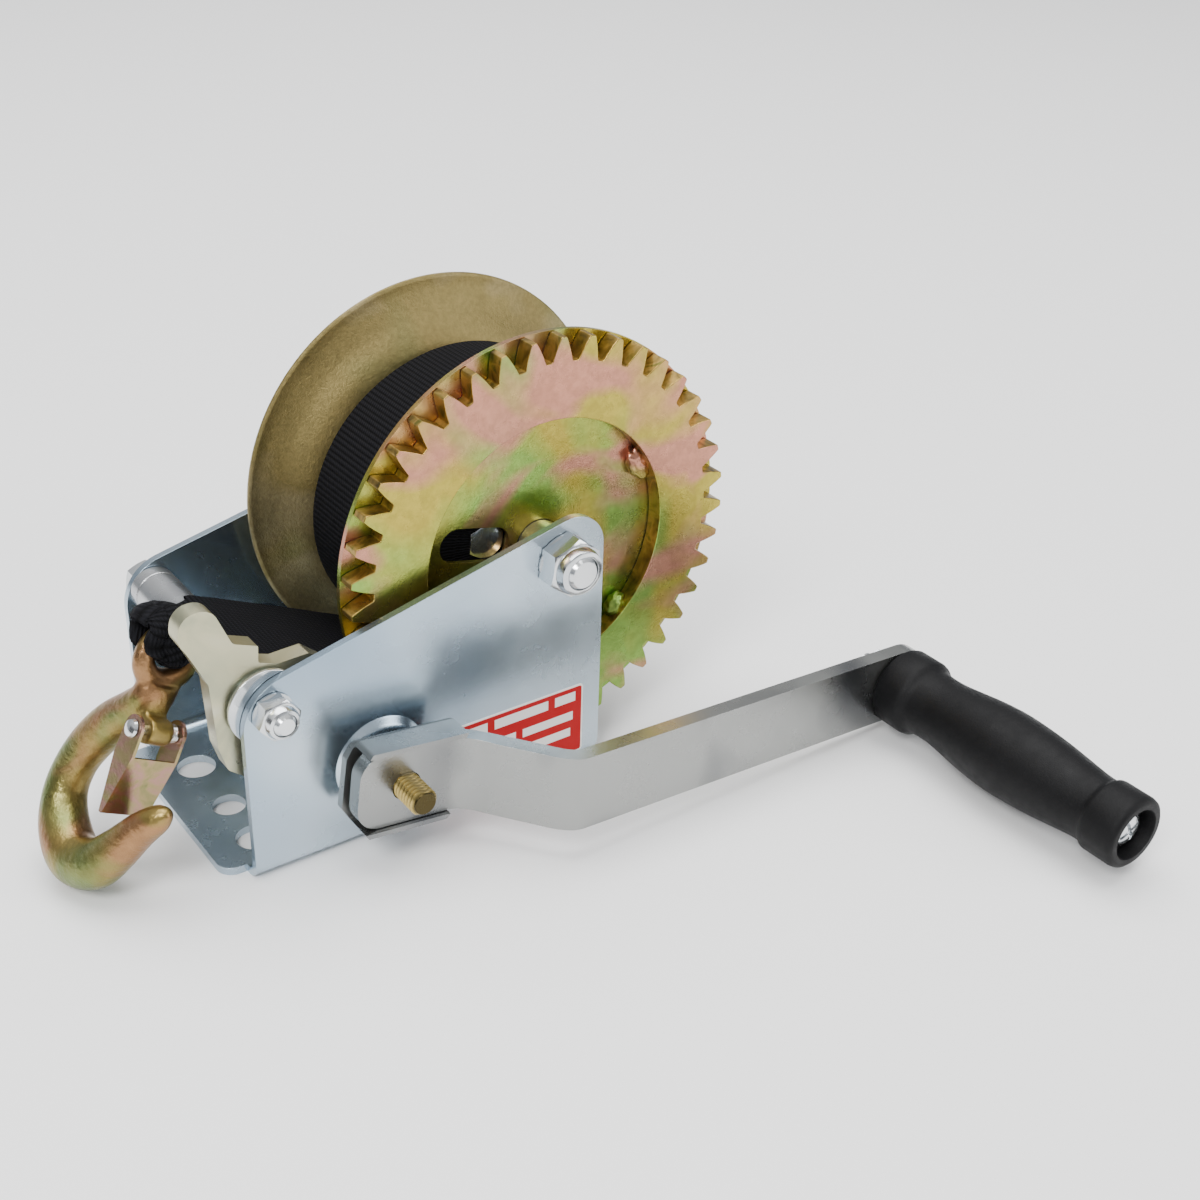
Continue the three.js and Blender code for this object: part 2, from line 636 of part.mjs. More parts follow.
// Rises from 0 to 1 with a straight middle and short round ends.
function smoothRamp(t) {
  const round = 0.2;
  const slope = 1 / (1 - round);
  if (t < round) {
    return slope * t * t / (2 * round);
  }
  if (t > 1 - round) {
    return 1 - slope * (1 - t) * (1 - t) / (2 * round);
  }
  return slope * (t - round / 2);
}

// The arm seen from its edge: a bar with one offset bend, drawn in u (along the arm) and Y.
function armSide() {
  const face = [[-30, ARM_INNER_FACE]];
  const steps = 12;
  for (let k = 0; k <= steps; k += 1) {
    const t = k / steps;
    const u = ARM_BEND_START + (ARM_BEND_END - ARM_BEND_START) * t;
    face.push([u, ARM_INNER_FACE + (ARM_OUTER_FACE - ARM_INNER_FACE) * smoothRamp(t)]);
  }
  face.push([CRANK_RADIUS + ARM_WIDTH, ARM_OUTER_FACE]);
  const back = face.map(([u, y], i) => {
    const [u0, y0] = face[Math.max(i - 1, 0)];
    const [u1, y1] = face[Math.min(i + 1, face.length - 1)];
    const length = Math.hypot(u1 - u0, y1 - y0);
    return [u - ARM_PLATE * (y1 - y0) / length, y + ARM_PLATE * (u1 - u0) / length];
  });
  return new THREE.Shape([...face, ...back.reverse()].map(([u, y]) => new THREE.Vector2(u, y)));
}

// The arm seen from the front: parallel edges that change direction once, and round ends.
function armFront() {
  const half = ARM_WIDTH / 2;
  const kink = crankPoint(ARM_KINK, 0, 0, BRACKET_TILT);
  const outerTilt = Math.atan2(GRIP[1] - kink.z, GRIP[0] - kink.x);
  const middleTilt = (BRACKET_TILT + outerTilt) / 2;
  const from = (x, z, along, across, tilt) => [
    x + along * Math.cos(tilt) - across * Math.sin(tilt),
    z + along * Math.sin(tilt) + across * Math.cos(tilt),
  ];
  return roundedOutline([
    [...from(...SHAFT, -18, -half, BRACKET_TILT), 9],
    from(kink.x, kink.z, 0, -half, middleTilt),
    [...from(...GRIP, half, -half, outerTilt), half - 0.1],
    [...from(...GRIP, half, half, outerTilt), half - 0.1],
    from(kink.x, kink.z, 0, half, middleTilt),
    [...from(...SHAFT, -18, half, BRACKET_TILT), 9],
  ], 8);
}

function arm() {
  const bar = new THREE.ExtrudeGeometry(armSide(), { depth: 60, bevelEnabled: false });
  const place = new THREE.Matrix4().makeBasis(
    new THREE.Vector3(Math.cos(CRANK_ANGLE), 0, Math.sin(CRANK_ANGLE)),
    new THREE.Vector3(0, 1, 0),
    new THREE.Vector3(-Math.sin(CRANK_ANGLE), 0, Math.cos(CRANK_ANGLE)),
  );
  place.setPosition(crankPoint(0, -30, 0, CRANK_ANGLE));
  bar.applyMatrix4(place);
  const body = solid(bar).intersect(slab(armFront(), ARM_OUTER_FACE - 5, ARM_INNER_FACE + 12));
  const stubHole = stub(-80, -50, STUB_R + GAP, STUB_FLAT + GAP);
  return cutAll(body, [stubHole, rod(GRIP, -120, -80, GRIP_BOLT_R + GAP)]);
}

addPiece('crank_arm', 'arm_zinc', arm());

const GRIP_START = ARM_OUTER_FACE - GAP;
const GRIP_END = GRIP_START - GRIP_LENGTH;
const RECESS = 6;
const RECESS_R = 9.6;

function grip() {
  const outside = [[14.9, 0], [15.4, 1.5], [15.4, 12], [13, 16], [13, 24], [15.2, 42], [16, 54], [15.2, 70],
    [12.4, 93], [12.4, 97], [13.8, 99], [13.8, 111], [12.2, GRIP_LENGTH]];
  const floorAt = GRIP_LENGTH - RECESS;
  const boreR = GRIP_BOLT_R + GAP;
  const bore = [[RECESS_R, GRIP_LENGTH], [RECESS_R, floorAt], [boreR, floorAt], [boreR, 0]];
  const profile = [...outside, ...bore].map(([radius, along]) => [radius, GRIP_START - along]);
  return turned(GRIP, profile.reverse(), 24);
}

function gripBolt() {
  const seat = GRIP_END + RECESS - GAP;
  const head = rod(GRIP, seat - 3, seat, 4.2, 7, 28);
  const slot = box(GRIP[0] - 8, GRIP[0] + 8, seat - 4, seat - 1.8, GRIP[1] - 0.8, GRIP[1] + 0.8);
  return head.add(rod(GRIP, seat - 1, -80, GRIP_BOLT_R)).subtract(slot);
}

addPiece('grip', 'plastic', grip());
addPiece('grip_bolt', 'bright_zinc', gripBolt());
addPiece('grip_nut', 'bright_zinc', hexagon(GRIP, ARM_OUTER_FACE + ARM_PLATE + GAP, -84.5, 14, deg(12))
  .subtract(rod(GRIP, -120, -60, GRIP_BOLT_R + GAP)));

// ---------- Hook ----------

// A closed solid through rings of points, each ring the same length and turning the same way.
function loft(rings) {
  const count = rings[0].length;
  const middles = [rings[0], rings[rings.length - 1]].map((ring) => (
    ring.reduce((sum, point) => sum.add(point), new THREE.Vector3()).divideScalar(count)));
  const points = [...rings.flat(), ...middles];
  const first = points.length - 2;
  const last = points.length - 1;
  const lastRing = (rings.length - 1) * count;
  const triangles = [];
  for (let k = 0; k < count; k += 1) {
    const next = (k + 1) % count;
    for (let i = 0; i < rings.length - 1; i += 1) {
      const a = i * count;
      const b = a + count;
      triangles.push(a + k, b + next, a + next, a + k, b + k, b + next);
    }
    triangles.push(first, k, next);
    triangles.push(last, lastRing + next, lastRing + k);
  }
  const geometry = new THREE.BufferGeometry();
  geometry.setAttribute('position', new THREE.Float32BufferAttribute(points.flatMap((p) => p.toArray()), 3));
  geometry.setIndex(triangles);
  return solid(geometry);
}

function ellipse(centre, right, up, steps = 12) {
  const points = [];
  for (let k = 0; k < steps; k += 1) {
    const angle = 2 * Math.PI * k / steps;
    points.push(centre.clone().addScaledVector(right, Math.cos(angle)).addScaledVector(up, Math.sin(angle)));
  }
  return points;
}

// Carries a body drawn about the eye (Y square to the bowl's plane, Z from the bowl to the eye) into place.
const HOOK_SIDE = new THREE.Vector3().crossVectors(HOOK_ACROSS, HOOK_ALONG);
const HOOK_PLACE = new THREE.Matrix4().makeBasis(HOOK_SIDE, HOOK_ACROSS, HOOK_ALONG).setPosition(EYE);

function hung(body) {
  return body.transform(HOOK_PLACE.elements);
}

// The forged bar, drawn in X and Z: [x, z, half its width in the plane, half its depth across the plane].
const HOOK_BAR = [
  [1, -9, 5.5, 7.6], [0, -15.5, 6.2, 7.6], [-5.4, -22, 7, 7.4], [-13.8, -30.5, 7.6, 7.2],
  [-20.3, -40.2, 7.6, 7], [-24.1, -50.5, 7.2, 7], [-23.8, -61, 7.6, 7.4], [-17.6, -70.2, 8.8, 8.4],
  [-6.6, -75.8, 9.2, 8.8], [5, -72.8, 8.6, 8.4], [12.4, -64.4, 7.4, 7.2], [19.3, -54, 6, 6],
  [25.6, -46.6, 4.8, 4.8], [28.6, -43.4, 3, 3],
];

function hook() {
  const rings = HOOK_BAR.map(([x, z, inPlane, across], i) => {
    const before = HOOK_BAR[Math.max(i - 1, 0)];
    const after = HOOK_BAR[Math.min(i + 1, HOOK_BAR.length - 1)];
    const run = new THREE.Vector3(after[0] - before[0], 0, after[1] - before[1]).normalize();
    const out = new THREE.Vector3(run.z, 0, -run.x).multiplyScalar(inPlane);
    return ellipse(new THREE.Vector3(x, 0, z), new THREE.Vector3(0, across, 0), out);
  });
  const eye = new THREE.TorusGeometry(EYE_R, EYE_BAR_R, 10, 24).rotateY(Math.PI / 2);
  const knob = rod(LATCH_PIVOT, -KNOB_HALF, KNOB_HALF, KNOB_R);
  const neck = box(-2, 6, -KNOB_HALF, KNOB_HALF, -25, -16);
  const hole = rod([0, 0], -9, 9, EYE_R - EYE_BAR_R, EYE_R - EYE_BAR_R, 24).rotate([0, 0, 90]);
  return hung(joinAll([loft(rings).subtract(hole), solid(eye), knob, neck])
    .subtract(rod(LATCH_PIVOT, -10, 10, LATCH_PIN_R + GAP, LATCH_PIN_R + GAP, 20)));
}

const LATCH_OUTSIDE = 8.9;
const LATCH_SHEET = 1.1;

function latchPin() {
  const head = LATCH_OUTSIDE + GAP;
  const pin = rod(LATCH_PIVOT, -head - 0.6, head + 0.6, LATCH_PIN_R, LATCH_PIN_R, 20);
  const heads = [-1, 1].map((side) => outwardCone(LATCH_PIVOT, side, head, head + 1.3, 3.1, 2, 20));
  return hung(joinAll([pin, ...heads]));
}

// A channel bent from sheet: two ears on the pin, joined by a plate that closes the bowl.
function latch() {
  const [x, z] = LATCH_PIVOT;
  const side = roundedOutline([
    [x - 4.6, z + 4.6, 4.5],
    [x + 4.6, z + 4.6, 4.5],
    [x + 5.2, z - 8],
    [x + 0.9, z - 29.6, 0.5],
    [x - 0.7, z - 29.6, 0.5],
    [x - 4.6, z - 10],
  ], 5);
  const block = slab(side, -LATCH_OUTSIDE, LATCH_OUTSIDE);
  const inside = LATCH_OUTSIDE - LATCH_SHEET;
  const hollow = slab(roundedOutline([
    [x - 12, z + 12],
    [x + 5.2 - LATCH_SHEET, z + 12],
    [x + 5.2 - LATCH_SHEET, z - 8],
    [x + 0.7 - LATCH_SHEET, z - 31],
    [x - 12, z - 31],
  ]), -inside, inside);
  const mouth = box(x, x + 8, -inside, inside, z - 8.2, z + 8);
  const pinHole = rod(LATCH_PIVOT, -12, 12, LATCH_PIN_R + GAP, LATCH_PIN_R + GAP, 20);
  return hung(cutAll(block, [hollow, mouth, pinHole]));
}

addPiece('hook', 'hook_zinc', hook());
addPiece('latch_pin', 'bright_zinc', latchPin());
addPiece('latch', 'pawl_zinc', latch());
const springCoil = tube(LATCH_PIVOT, KNOB_HALF + GAP, 7.5, 3.2, LATCH_PIN_R + GAP, 20);
addPiece('latch_spring', 'bright_zinc', hung(springCoil));

// ---------- Free webbing ----------

// The outline of a flat band: four corners.
function band(centre, across, thick) {
  return [[-1, -1], [1, -1], [1, 1], [-1, 1]].map(([a, b]) => (
    centre.clone().addScaledVector(across, a).addScaledVector(thick, b)));
}

// The straight run from the bottom of the roll and the wrap over the tie tube, as [x, z].
function tailPath() {
  const around = TIE_TUBE_R + GAP + WEBBING / 2;
  const below = ROLL_R + GAP + WEBBING / 2;
  const run = [AXLE[0] - TIE[0], AXLE[1] - TIE[1]];
  const slope = Math.atan2(run[1], run[0]) - Math.asin((around + below) / Math.hypot(...run));
  const path = [[AXLE[0] + below * Math.sin(slope), AXLE[1] - below * Math.cos(slope)]];
  for (const lean of [0, 14, 28]) {
    const angle = slope + deg(90 + lean);
    path.push([TIE[0] + around * Math.cos(angle), TIE[1] + around * Math.sin(angle)]);
  }
  return path;
}

// Past the tie tube the webbing is gathered: [x, y, z, half width, half thickness].
const GATHER = [
  [-64.2, -4.6, 76.4, 17.5, 1], [-66.8, -1.6, 78.6, 9, 1.7],
  [-71, -3.2, 82, 5.2, 2.6], [-74, -7.2, 85.2, 2.6, 2.4],
];

function strapTail() {
  const middle = -6;
  const flat = tailPath().map(([x, z]) => [x, middle, z, WEBBING_WIDTH / 2, WEBBING / 2]);
  const stations = [...flat, ...GATHER];
  const rings = stations.map(([x, y, z, halfWidth, halfThick], i) => {
    const before = stations[Math.max(i - 1, 0)];
    const after = stations[Math.min(i + 1, stations.length - 1)];
    const run = new THREE.Vector3(after[0] - before[0], 0, after[2] - before[2]).normalize();
    const thick = new THREE.Vector3(run.z, 0, -run.x).multiplyScalar(halfThick);
    return band(new THREE.Vector3(x, y, z), new THREE.Vector3(0, halfWidth, 0), thick);
  });
  const bar = [0, EYE_R];
  const loopHalf = 3.6;
  const loop = rod(bar, -loopHalf, loopHalf, 6.4);
  const hole = EYE_R - EYE_BAR_R;
  const waist = [-4, -2, 0, 2, 4].map((w) => [EYE_R - Math.sqrt(hole * hole - w * w) + 0.4, w]);
  const cavity = turned(bar, [[0, -4], ...waist, [0, 4]], 20);
  return loft(rings).add(hung(loop)).subtract(hung(cavity));
}

addPiece('strap_tail', 'webbing', strapTail());

export default winch;
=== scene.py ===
"""Looks of the boat trailer winch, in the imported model's frame.

X runs from the hook to the rear, the gear and the crank are on the -Y side, and Z is up. Pieces are drawn in
millimetres, and raw() turns them into metres.
"""

import json
import math
from contextlib import contextmanager

import bmesh
import bpy
from mathutils import Matrix, Vector, noise
from mathutils.geometry import tessellate_polygon


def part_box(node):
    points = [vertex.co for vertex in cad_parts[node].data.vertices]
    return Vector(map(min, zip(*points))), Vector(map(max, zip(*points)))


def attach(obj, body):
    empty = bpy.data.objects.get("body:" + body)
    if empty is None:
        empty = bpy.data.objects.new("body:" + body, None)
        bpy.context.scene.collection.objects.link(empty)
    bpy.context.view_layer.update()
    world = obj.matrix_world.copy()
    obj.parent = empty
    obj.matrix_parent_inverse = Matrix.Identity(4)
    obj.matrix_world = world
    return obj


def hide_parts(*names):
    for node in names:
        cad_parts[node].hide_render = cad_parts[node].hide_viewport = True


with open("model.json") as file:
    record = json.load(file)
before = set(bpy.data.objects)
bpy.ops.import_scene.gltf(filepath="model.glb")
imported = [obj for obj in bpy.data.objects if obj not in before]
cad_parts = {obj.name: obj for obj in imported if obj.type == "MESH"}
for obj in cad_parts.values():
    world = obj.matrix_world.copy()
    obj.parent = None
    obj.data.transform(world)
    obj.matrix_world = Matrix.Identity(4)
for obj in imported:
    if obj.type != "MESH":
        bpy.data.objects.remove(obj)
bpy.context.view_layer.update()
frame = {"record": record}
MM = 0.001
JOINTS = {j["name"]: j for j in frame["record"]["behaviour"]["joints"]}


# ---------- Places, all in millimetres ----------

def centre(node):
    """The middle of a node's box."""
    lo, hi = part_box(node)
    return (lo + hi) / 2 / MM


def span(node, axis="Y"):
    """Where a node starts and ends along an axis."""
    k = "XYZ".index(axis)
    lo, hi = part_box(node)
    return lo[k] / MM, hi[k] / MM


def axis_of(node):
    """A point on the line along Y through a node's middle."""
    middle = centre(node)
    return Vector((middle.x, 0, middle.z))


AXLE = axis_of("axle_sleeve")
TIE = axis_of("tie_tube")
SHAFT = axis_of("shaft_spacer")
GRIP = axis_of("grip")
FRONT, REAR = -70.0, 70.0  # the side plates' ends along X
OUTER, INNER, PLATE = 50.0, 47.0, 3.0  # the side plates' faces along Y, and the plate's thickness

# The hook's own frame: X across the bowl, Y square to it, Z from the bowl to the eye, from the eye's middle.
EYE_R, EYE_BAR = 9.0, 3.0  # the eye's middle radius and the radius of its bar
PIVOT = (8.5, -23.5)  # the latch's pin, as (X, Z) in that frame
ACROSS = Vector(JOINTS["hook_swing"]["axis"]).normalized()
BAR = Vector(JOINTS["hook_swing"]["pos_m"]) / MM
TO_PIVOT = Vector(JOINTS["latch_open"]["pos_m"]) / MM - BAR
REACH = (PIVOT[0], PIVOT[1] - EYE_R)
ALONG = (REACH[1] * TO_PIVOT - REACH[0] * ACROSS.cross(TO_PIVOT)).normalized()
SIDE = ACROSS.cross(ALONG)
HOOK = Matrix.Translation(BAR - EYE_R * ALONG) @ Matrix((SIDE, ACROSS, ALONG)).transposed().to_4x4()
HOOK_METRES = HOOK.copy()
HOOK_METRES.translation = HOOK.translation * MM


# ---------- Camera and light ----------

def linked(name, data):
    """A new object in the scene, from a mesh, a lamp or a camera."""
    o = bpy.data.objects.new(name, data)
    bpy.context.scene.collection.objects.link(o)
    return o


camera = linked("camera", bpy.data.cameras.new("camera"))
bpy.context.scene.camera = camera
RIGHT = Vector((0.81284, -0.58184, 0.02748)).normalized()
BACK = Vector((-0.51694, -0.69882, 0.49438)).normalized()
UP = BACK.cross(RIGHT).normalized()
camera.matrix_world = Matrix.LocRotScale(
    Vector((-0.23910, -0.46677, 0.36149)),
    Matrix((RIGHT, UP, BACK)).transposed().to_quaternion(),
    None,
)
camera.data.sensor_width = 36.0
camera.data.lens = 49.75
camera.data.dof.use_dof = False


def light(name, place, target, size, power):
    lamp = bpy.data.lights.new(name, "AREA")
    lamp.shape = "RECTANGLE"
    lamp.size, lamp.size_y = size
    lamp.energy = power
    o = linked(name, lamp)
    o.location = place
    o.rotation_euler = (Vector(target) - Vector(place)).to_track_quat("-Z", "Y").to_euler()


light("key", (-1.0, -0.7, 1.3), (0, 0, 0.05), (0.6, 0.6), 26)
light("fill", (1.0, -1.1, 0.6), (0.05, 0, 0.05), (0.7, 0.7), 9)
light("top", (0.3, 0.5, 2.4), (0.2, 0.4, 0), (2.4, 2.4), 95)


# ---------- Materials ----------

class Shader:
    """A small helper round a node material."""

    def __init__(self, name, colour, rough, metal=0.0, coord="Object"):
        self.mat = bpy.data.materials.new(name)
        self.mat.use_nodes = True
        self.nodes = self.mat.node_tree.nodes
        self.surface = self.nodes["Principled BSDF"].inputs
        self.feed(self.surface, {"Base Color": colour, "Roughness": rough, "Metallic": metal})
        self.mat.diffuse_color = (*colour, 1)
        self.coord = self.nodes.new("ShaderNodeTexCoord").outputs[coord]

    def feed(self, inputs, values):
        """Links or sets inputs, each value being a socket, a number, a vector or a colour."""
        for key, value in values.items():
            if hasattr(value, "links"):
                self.mat.node_tree.links.new(value, inputs[key])
            else:
                inputs[key].default_value = (*value, 1) if inputs[key].type == "RGBA" else value

    def add(self, kind, values, **settings):
        """The outputs of a new node."""
        n = self.nodes.new("ShaderNode" + kind)
        for key, setting in settings.items():
            setattr(n, key, setting)
        self.feed(n.inputs, values)
        return n.outputs

    def noise(self, scale, detail, rough, distort=0.0, stretch=None):
        place = self.coord
        if stretch:
            place = self.add("Mapping", {"Vector": place, "Scale": stretch})["Vector"]
        values = {"Scale": scale, "Detail": detail, "Roughness": rough, "Distortion": distort}
        return self.add("TexNoise", {"Vector": place, **values})["Fac"]

    def ramp(self, fac, stops):
        """Turns a grey into colours, from a list of (position, colour)."""
        r = self.nodes.new("ShaderNodeValToRGB")
        while len(r.color_ramp.elements) < len(stops):
            r.color_ramp.elements.new(0.5)
        for e, (position, colour) in zip(r.color_ramp.elements, stops):
            e.position = position
            e.color = (*colour, 1)
        self.feed(r.inputs, {"Fac": fac})
        return r.outputs["Color"]

    def grey(self, fac, low, high, start=0.3, end=0.7):
        """Spreads a grey between start and end over low to high."""
        values = {"Value": fac, "From Min": start, "From Max": end, "To Min": low, "To Max": high}
        return self.add("MapRange", values)["Result"]

    def mix(self, fac, a, b, blend="MIX"):
        # A Mix node's colours are its inputs 6 and 7 and its output 2.
        return self.add("Mix", {0: fac, 6: a, 7: b}, data_type="RGBA", blend_type=blend)[2]

    def math(self, op, *values):
        return self.add("Math", dict(enumerate(values)), operation=op)[0]

    def split(self, vector):
        return self.add("SeparateXYZ", {0: vector})

    def colour(self, socket):
        self.feed(self.surface, {"Base Color": socket})

    def roughness(self, socket):
        self.feed(self.surface, {"Roughness": socket})

    def specular(self, level):
        self.feed(self.surface, {"Specular IOR Level": level})

    def bump(self, height, strength, distance):
        values = {"Height": height, "Strength": strength, "Distance": distance}
        self.feed(self.surface, {"Normal": self.add("Bump", values)["Normal"]})


def zinc(name, dark, pale, rough, cloud, grain=0.10):
    """Clear zinc plating, clouded between two greys."""
    s = Shader(name, pale, sum(rough) / 2, 0.95)
    clouds = s.noise(cloud, 1.5, 0.45, 0.5)
    s.colour(s.ramp(clouds, [(0.32, dark), (0.52, pale), (0.72, tuple(min(1, c * 1.06) for c in pale))]))
    s.roughness(s.grey(s.noise(55, 4, 0.6, 0.3), *rough))
    s.bump(s.noise(900, 3, 0.6), grain, 0.0002)
    return s.mat


def chromate(name, stops, rough, cloud, grain=0.15):
    """Zinc plating in clouds of several colours."""
    s = Shader(name, stops[1][1], sum(rough) / 2, 0.9)
    s.colour(s.ramp(s.noise(cloud, 3, 0.5, 1.6), stops))
    s.roughness(s.grey(s.noise(80, 4, 0.6), *rough))
    s.bump(s.noise(700, 4, 0.65), grain, 0.0003)
    return s.mat


def iridescent(name, base, green, pink, rough, scale, grain, grain_scale, deep=0.0003):
    """Yellow chromate whose tint drifts softly to green and to pink."""
    s = Shader(name, base, sum(rough) / 2, 0.9)
    greens = s.grey(s.noise(scale, 2, 0.5, 0.4), 0.0, 0.95, 0.44, 0.57)
    pinks = s.grey(s.noise(scale * 1.15, 2, 0.5, 0.5, stretch=(1, 1, -1.3)), 0.0, 0.9, 0.51, 0.62)
    tint = s.mix(pinks, s.mix(greens, base, green), pink)
    fine = s.grey(s.noise(grain_scale * 0.5, 2, 0.6), 0.86, 1.06, 0.35, 0.65)
    s.colour(s.mix(1.0, tint, fine, "MULTIPLY"))
    s.roughness(s.grey(s.noise(80, 4, 0.6), *rough))
    s.bump(s.noise(grain_scale, 4, 0.65), grain, deep)
    return s.mat


def threaded(name, colour, axis, root, crest):
    """Plated thread about an axis along Y, with painted shade that darkens its grooves from the crest radius
    down to the root radius.
    """
    s = Shader(name, colour, 0.3, 0.9)
    x, _, z = s.split(s.coord)
    across = s.math("SUBTRACT", x, axis.x * MM)
    up = s.math("SUBTRACT", z, axis.z * MM)
    radius = s.math("SQRT", s.math("ADD", s.math("MULTIPLY", across, across), s.math("MULTIPLY", up, up)))
    # Painted shade: the colour falls to 0.12 of the plating's at the root radius, as shade in the grooves.
    groove = s.grey(radius, 0.0, 1.0, root * MM, crest * MM)
    s.colour(s.ramp(groove, [(0.0, tuple(c * 0.12 for c in colour)), (1.0, colour)]))
    s.roughness(s.grey(s.noise(80, 4, 0.6), 0.24, 0.36))
    return s.mat


def plastic():
    """Black moulded plastic with a fine grain."""
    s = Shader("grip_plastic", (0.0035, 0.0035, 0.004), 0.52)
    s.specular(0.16)
    s.roughness(s.grey(s.noise(160, 3, 0.6), 0.44, 0.60))
    s.bump(s.noise(1500, 5, 0.7), 0.35, 0.0004)
    return s.mat


def woven():
    """Black webbing; the UV map holds millimetres along and across it."""
    rib_pitch, twill_pitch = 1.9, 1.3
    s = Shader("webbing", (0.012, 0.012, 0.015), 0.82, 0.0, "UV")
    u, v, _ = s.split(s.coord)
    rib = s.math("SINE", s.math("MULTIPLY", u, 2 * math.pi / rib_pitch))
    slant = s.math("ADD", v, s.math("MULTIPLY", u, 0.5))
    twill = s.math("SINE", s.math("MULTIPLY", slant, 2 * math.pi / twill_pitch))
    rib_up = s.math("POWER", s.math("MULTIPLY", s.math("ADD", rib, 1.0), 0.5), 0.6)
    weave = s.math("ADD", rib_up, s.math("MULTIPLY", s.math("MULTIPLY", twill, rib_up), 0.35))
    s.bump(weave, 0.9, 0.0005)
    # Painted shade: the colour follows the weave's height, darker in its hollows.
    s.colour(s.ramp(weave, [(0.0, (0.0008, 0.0008, 0.001)), (1.0, (0.007, 0.007, 0.009))]))
    s.specular(0.1)
    return s.mat


def flat_paint(name, colour, rough=0.35):
    """Paint or print, a little uneven in its gloss."""
    s = Shader(name, colour, rough)
    s.specular(0.2)
    s.roughness(s.grey(s.noise(240, 3, 0.6), rough * 0.9, rough * 1.15))
    return s.mat


ZINC = zinc("zinc", (0.24, 0.33, 0.42), (0.52, 0.61, 0.68), (0.20, 0.30), 10, 0.05)
BRIGHT = zinc("bright_zinc", (0.46, 0.49, 0.52), (0.70, 0.72, 0.73), (0.12, 0.22), 40)
TUBE = zinc("tube_zinc", (0.30, 0.31, 0.33), (0.50, 0.51, 0.52), (0.24, 0.34), 40)
ARM = zinc("arm_zinc", (0.16, 0.165, 0.17), (0.30, 0.305, 0.295), (0.22, 0.34), 22, 0.15)

GEAR = iridescent("gear_zinc", (0.41, 0.33, 0.055), (0.22, 0.38, 0.075), (0.50, 0.21, 0.16), (0.22, 0.32),
                  20, 0.25, 700)
DRUM = iridescent("drum_zinc", (0.25, 0.195, 0.075), (0.20, 0.18, 0.07), (0.33, 0.27, 0.14), (0.42, 0.54),
                  16, 0.7, 1100)
HOOK_ZINC = iridescent("hook_zinc", (0.29, 0.21, 0.065), (0.15, 0.19, 0.06), (0.31, 0.16, 0.075),
                       (0.26, 0.38), 30, 0.8, 380, 0.0005)

GEAR_WALL = chromate("gear_wall", [
    (0.32, (0.10, 0.07, 0.02)), (0.46, (0.26, 0.17, 0.04)),
    (0.56, (0.42, 0.27, 0.07)), (0.70, (0.16, 0.14, 0.03)),
], (0.26, 0.40), 90, 0.4)
PAWL_ZINC = chromate("pawl_zinc", [
    (0.3, (0.33, 0.34, 0.24)), (0.5, (0.47, 0.45, 0.30)), (0.7, (0.52, 0.51, 0.39)),
], (0.26, 0.40), 34, 0.35)
LATCH = chromate("latch_zinc", [
    (0.30, (0.17, 0.20, 0.07)), (0.44, (0.36, 0.28, 0.13)),
    (0.56, (0.44, 0.24, 0.20)), (0.72, (0.33, 0.33, 0.11)),
], (0.16, 0.26), 60)
STUB = threaded("stub_zinc", (0.48, 0.36, 0.12), SHAFT, 3.9, 4.9)

PLASTIC = plastic()
WEBBING = woven()
RED = flat_paint("label_red", (0.44, 0.003, 0.006), 0.5)
WHITE = flat_paint("label_white", (0.85, 0.83, 0.80))
DARK = flat_paint("flag_black", (0.01, 0.01, 0.012), 0.9)
FLOOR_PAINT = Shader("floor_paint", (0.86, 0.86, 0.86), 0.7).mat


# ---------- Meshes ----------

def polar(c, r, a):
    """The point at radius r and angle a round c, which is a pair or a place whose X and Z count."""
    return c[0] + r * math.cos(a), c[-1] + r * math.sin(a)


def about(axis, r, a, y):
    """The place at radius r and angle a about an axis along Y."""
    return Vector((axis.x + r * math.cos(a), y, axis.z + r * math.sin(a)))


def raw(name, points, faces, uvs=None, place=Matrix()):
    """An object from points in millimetres, moved by place."""
    mesh = bpy.data.meshes.new(name)
    mesh.from_pydata([(place @ Vector(p)) * MM for p in points], [], faces)
    mesh.update()
    if uvs:
        layer = mesh.uv_layers.new(name="UVMap")
        for loop in mesh.loops:
            layer.data[loop.index].uv = uvs[loop.vertex_index]
    return linked(name, mesh)


@contextmanager
def editing(o):
    """Opens an object's mesh for editing and writes it back."""
    bm = bmesh.new()
    bm.from_mesh(o.data)
    yield bm
    bm.to_mesh(o.data)
    bm.free()


def outward(o, merge=False):
    """Turns the faces outwards, after joining doubled points where asked."""
    with editing(o) as bm:
        if merge:
            bmesh.ops.remove_doubles(bm, verts=bm.verts, dist=1e-6)
            bmesh.ops.dissolve_degenerate(bm, edges=bm.edges, dist=1e-7)
        bmesh.ops.recalc_face_normals(bm, faces=bm.faces)
    return o


def shade(o, angle):
    """Smooth faces, with an edge kept sharp where it turns by more than the angle."""
    with editing(o) as bm:
        for f in bm.faces:
            f.smooth = True
        for e in bm.edges:
            e.smooth = len(e.link_faces) == 2 and e.calc_face_angle(0) < math.radians(angle)


def bevel(o, width, segments, angle):
    m = o.modifiers.new("bevel", "BEVEL")
    m.width = width * MM
    m.segments = segments
    m.limit_method = "ANGLE"
    m.angle_limit = math.radians(angle)
    m.harden_normals = True


def baked(o):
    """The object with its modifiers applied."""
    mesh = bpy.data.meshes.new_from_object(o.evaluated_get(bpy.context.evaluated_depsgraph_get()))
    o.modifiers.clear()
    o.data = mesh
    return o


def combine(a, b, operation):
    """a becomes a with b joined, cut or intersected; b goes away."""
    m = a.modifiers.new("cut", "BOOLEAN")
    m.operation = operation
    m.object = b
    m.solver = "EXACT"
    baked(a)
    bpy.data.objects.remove(b)
    return a


def cut(a, b):
    return combine(a, b, "DIFFERENCE")


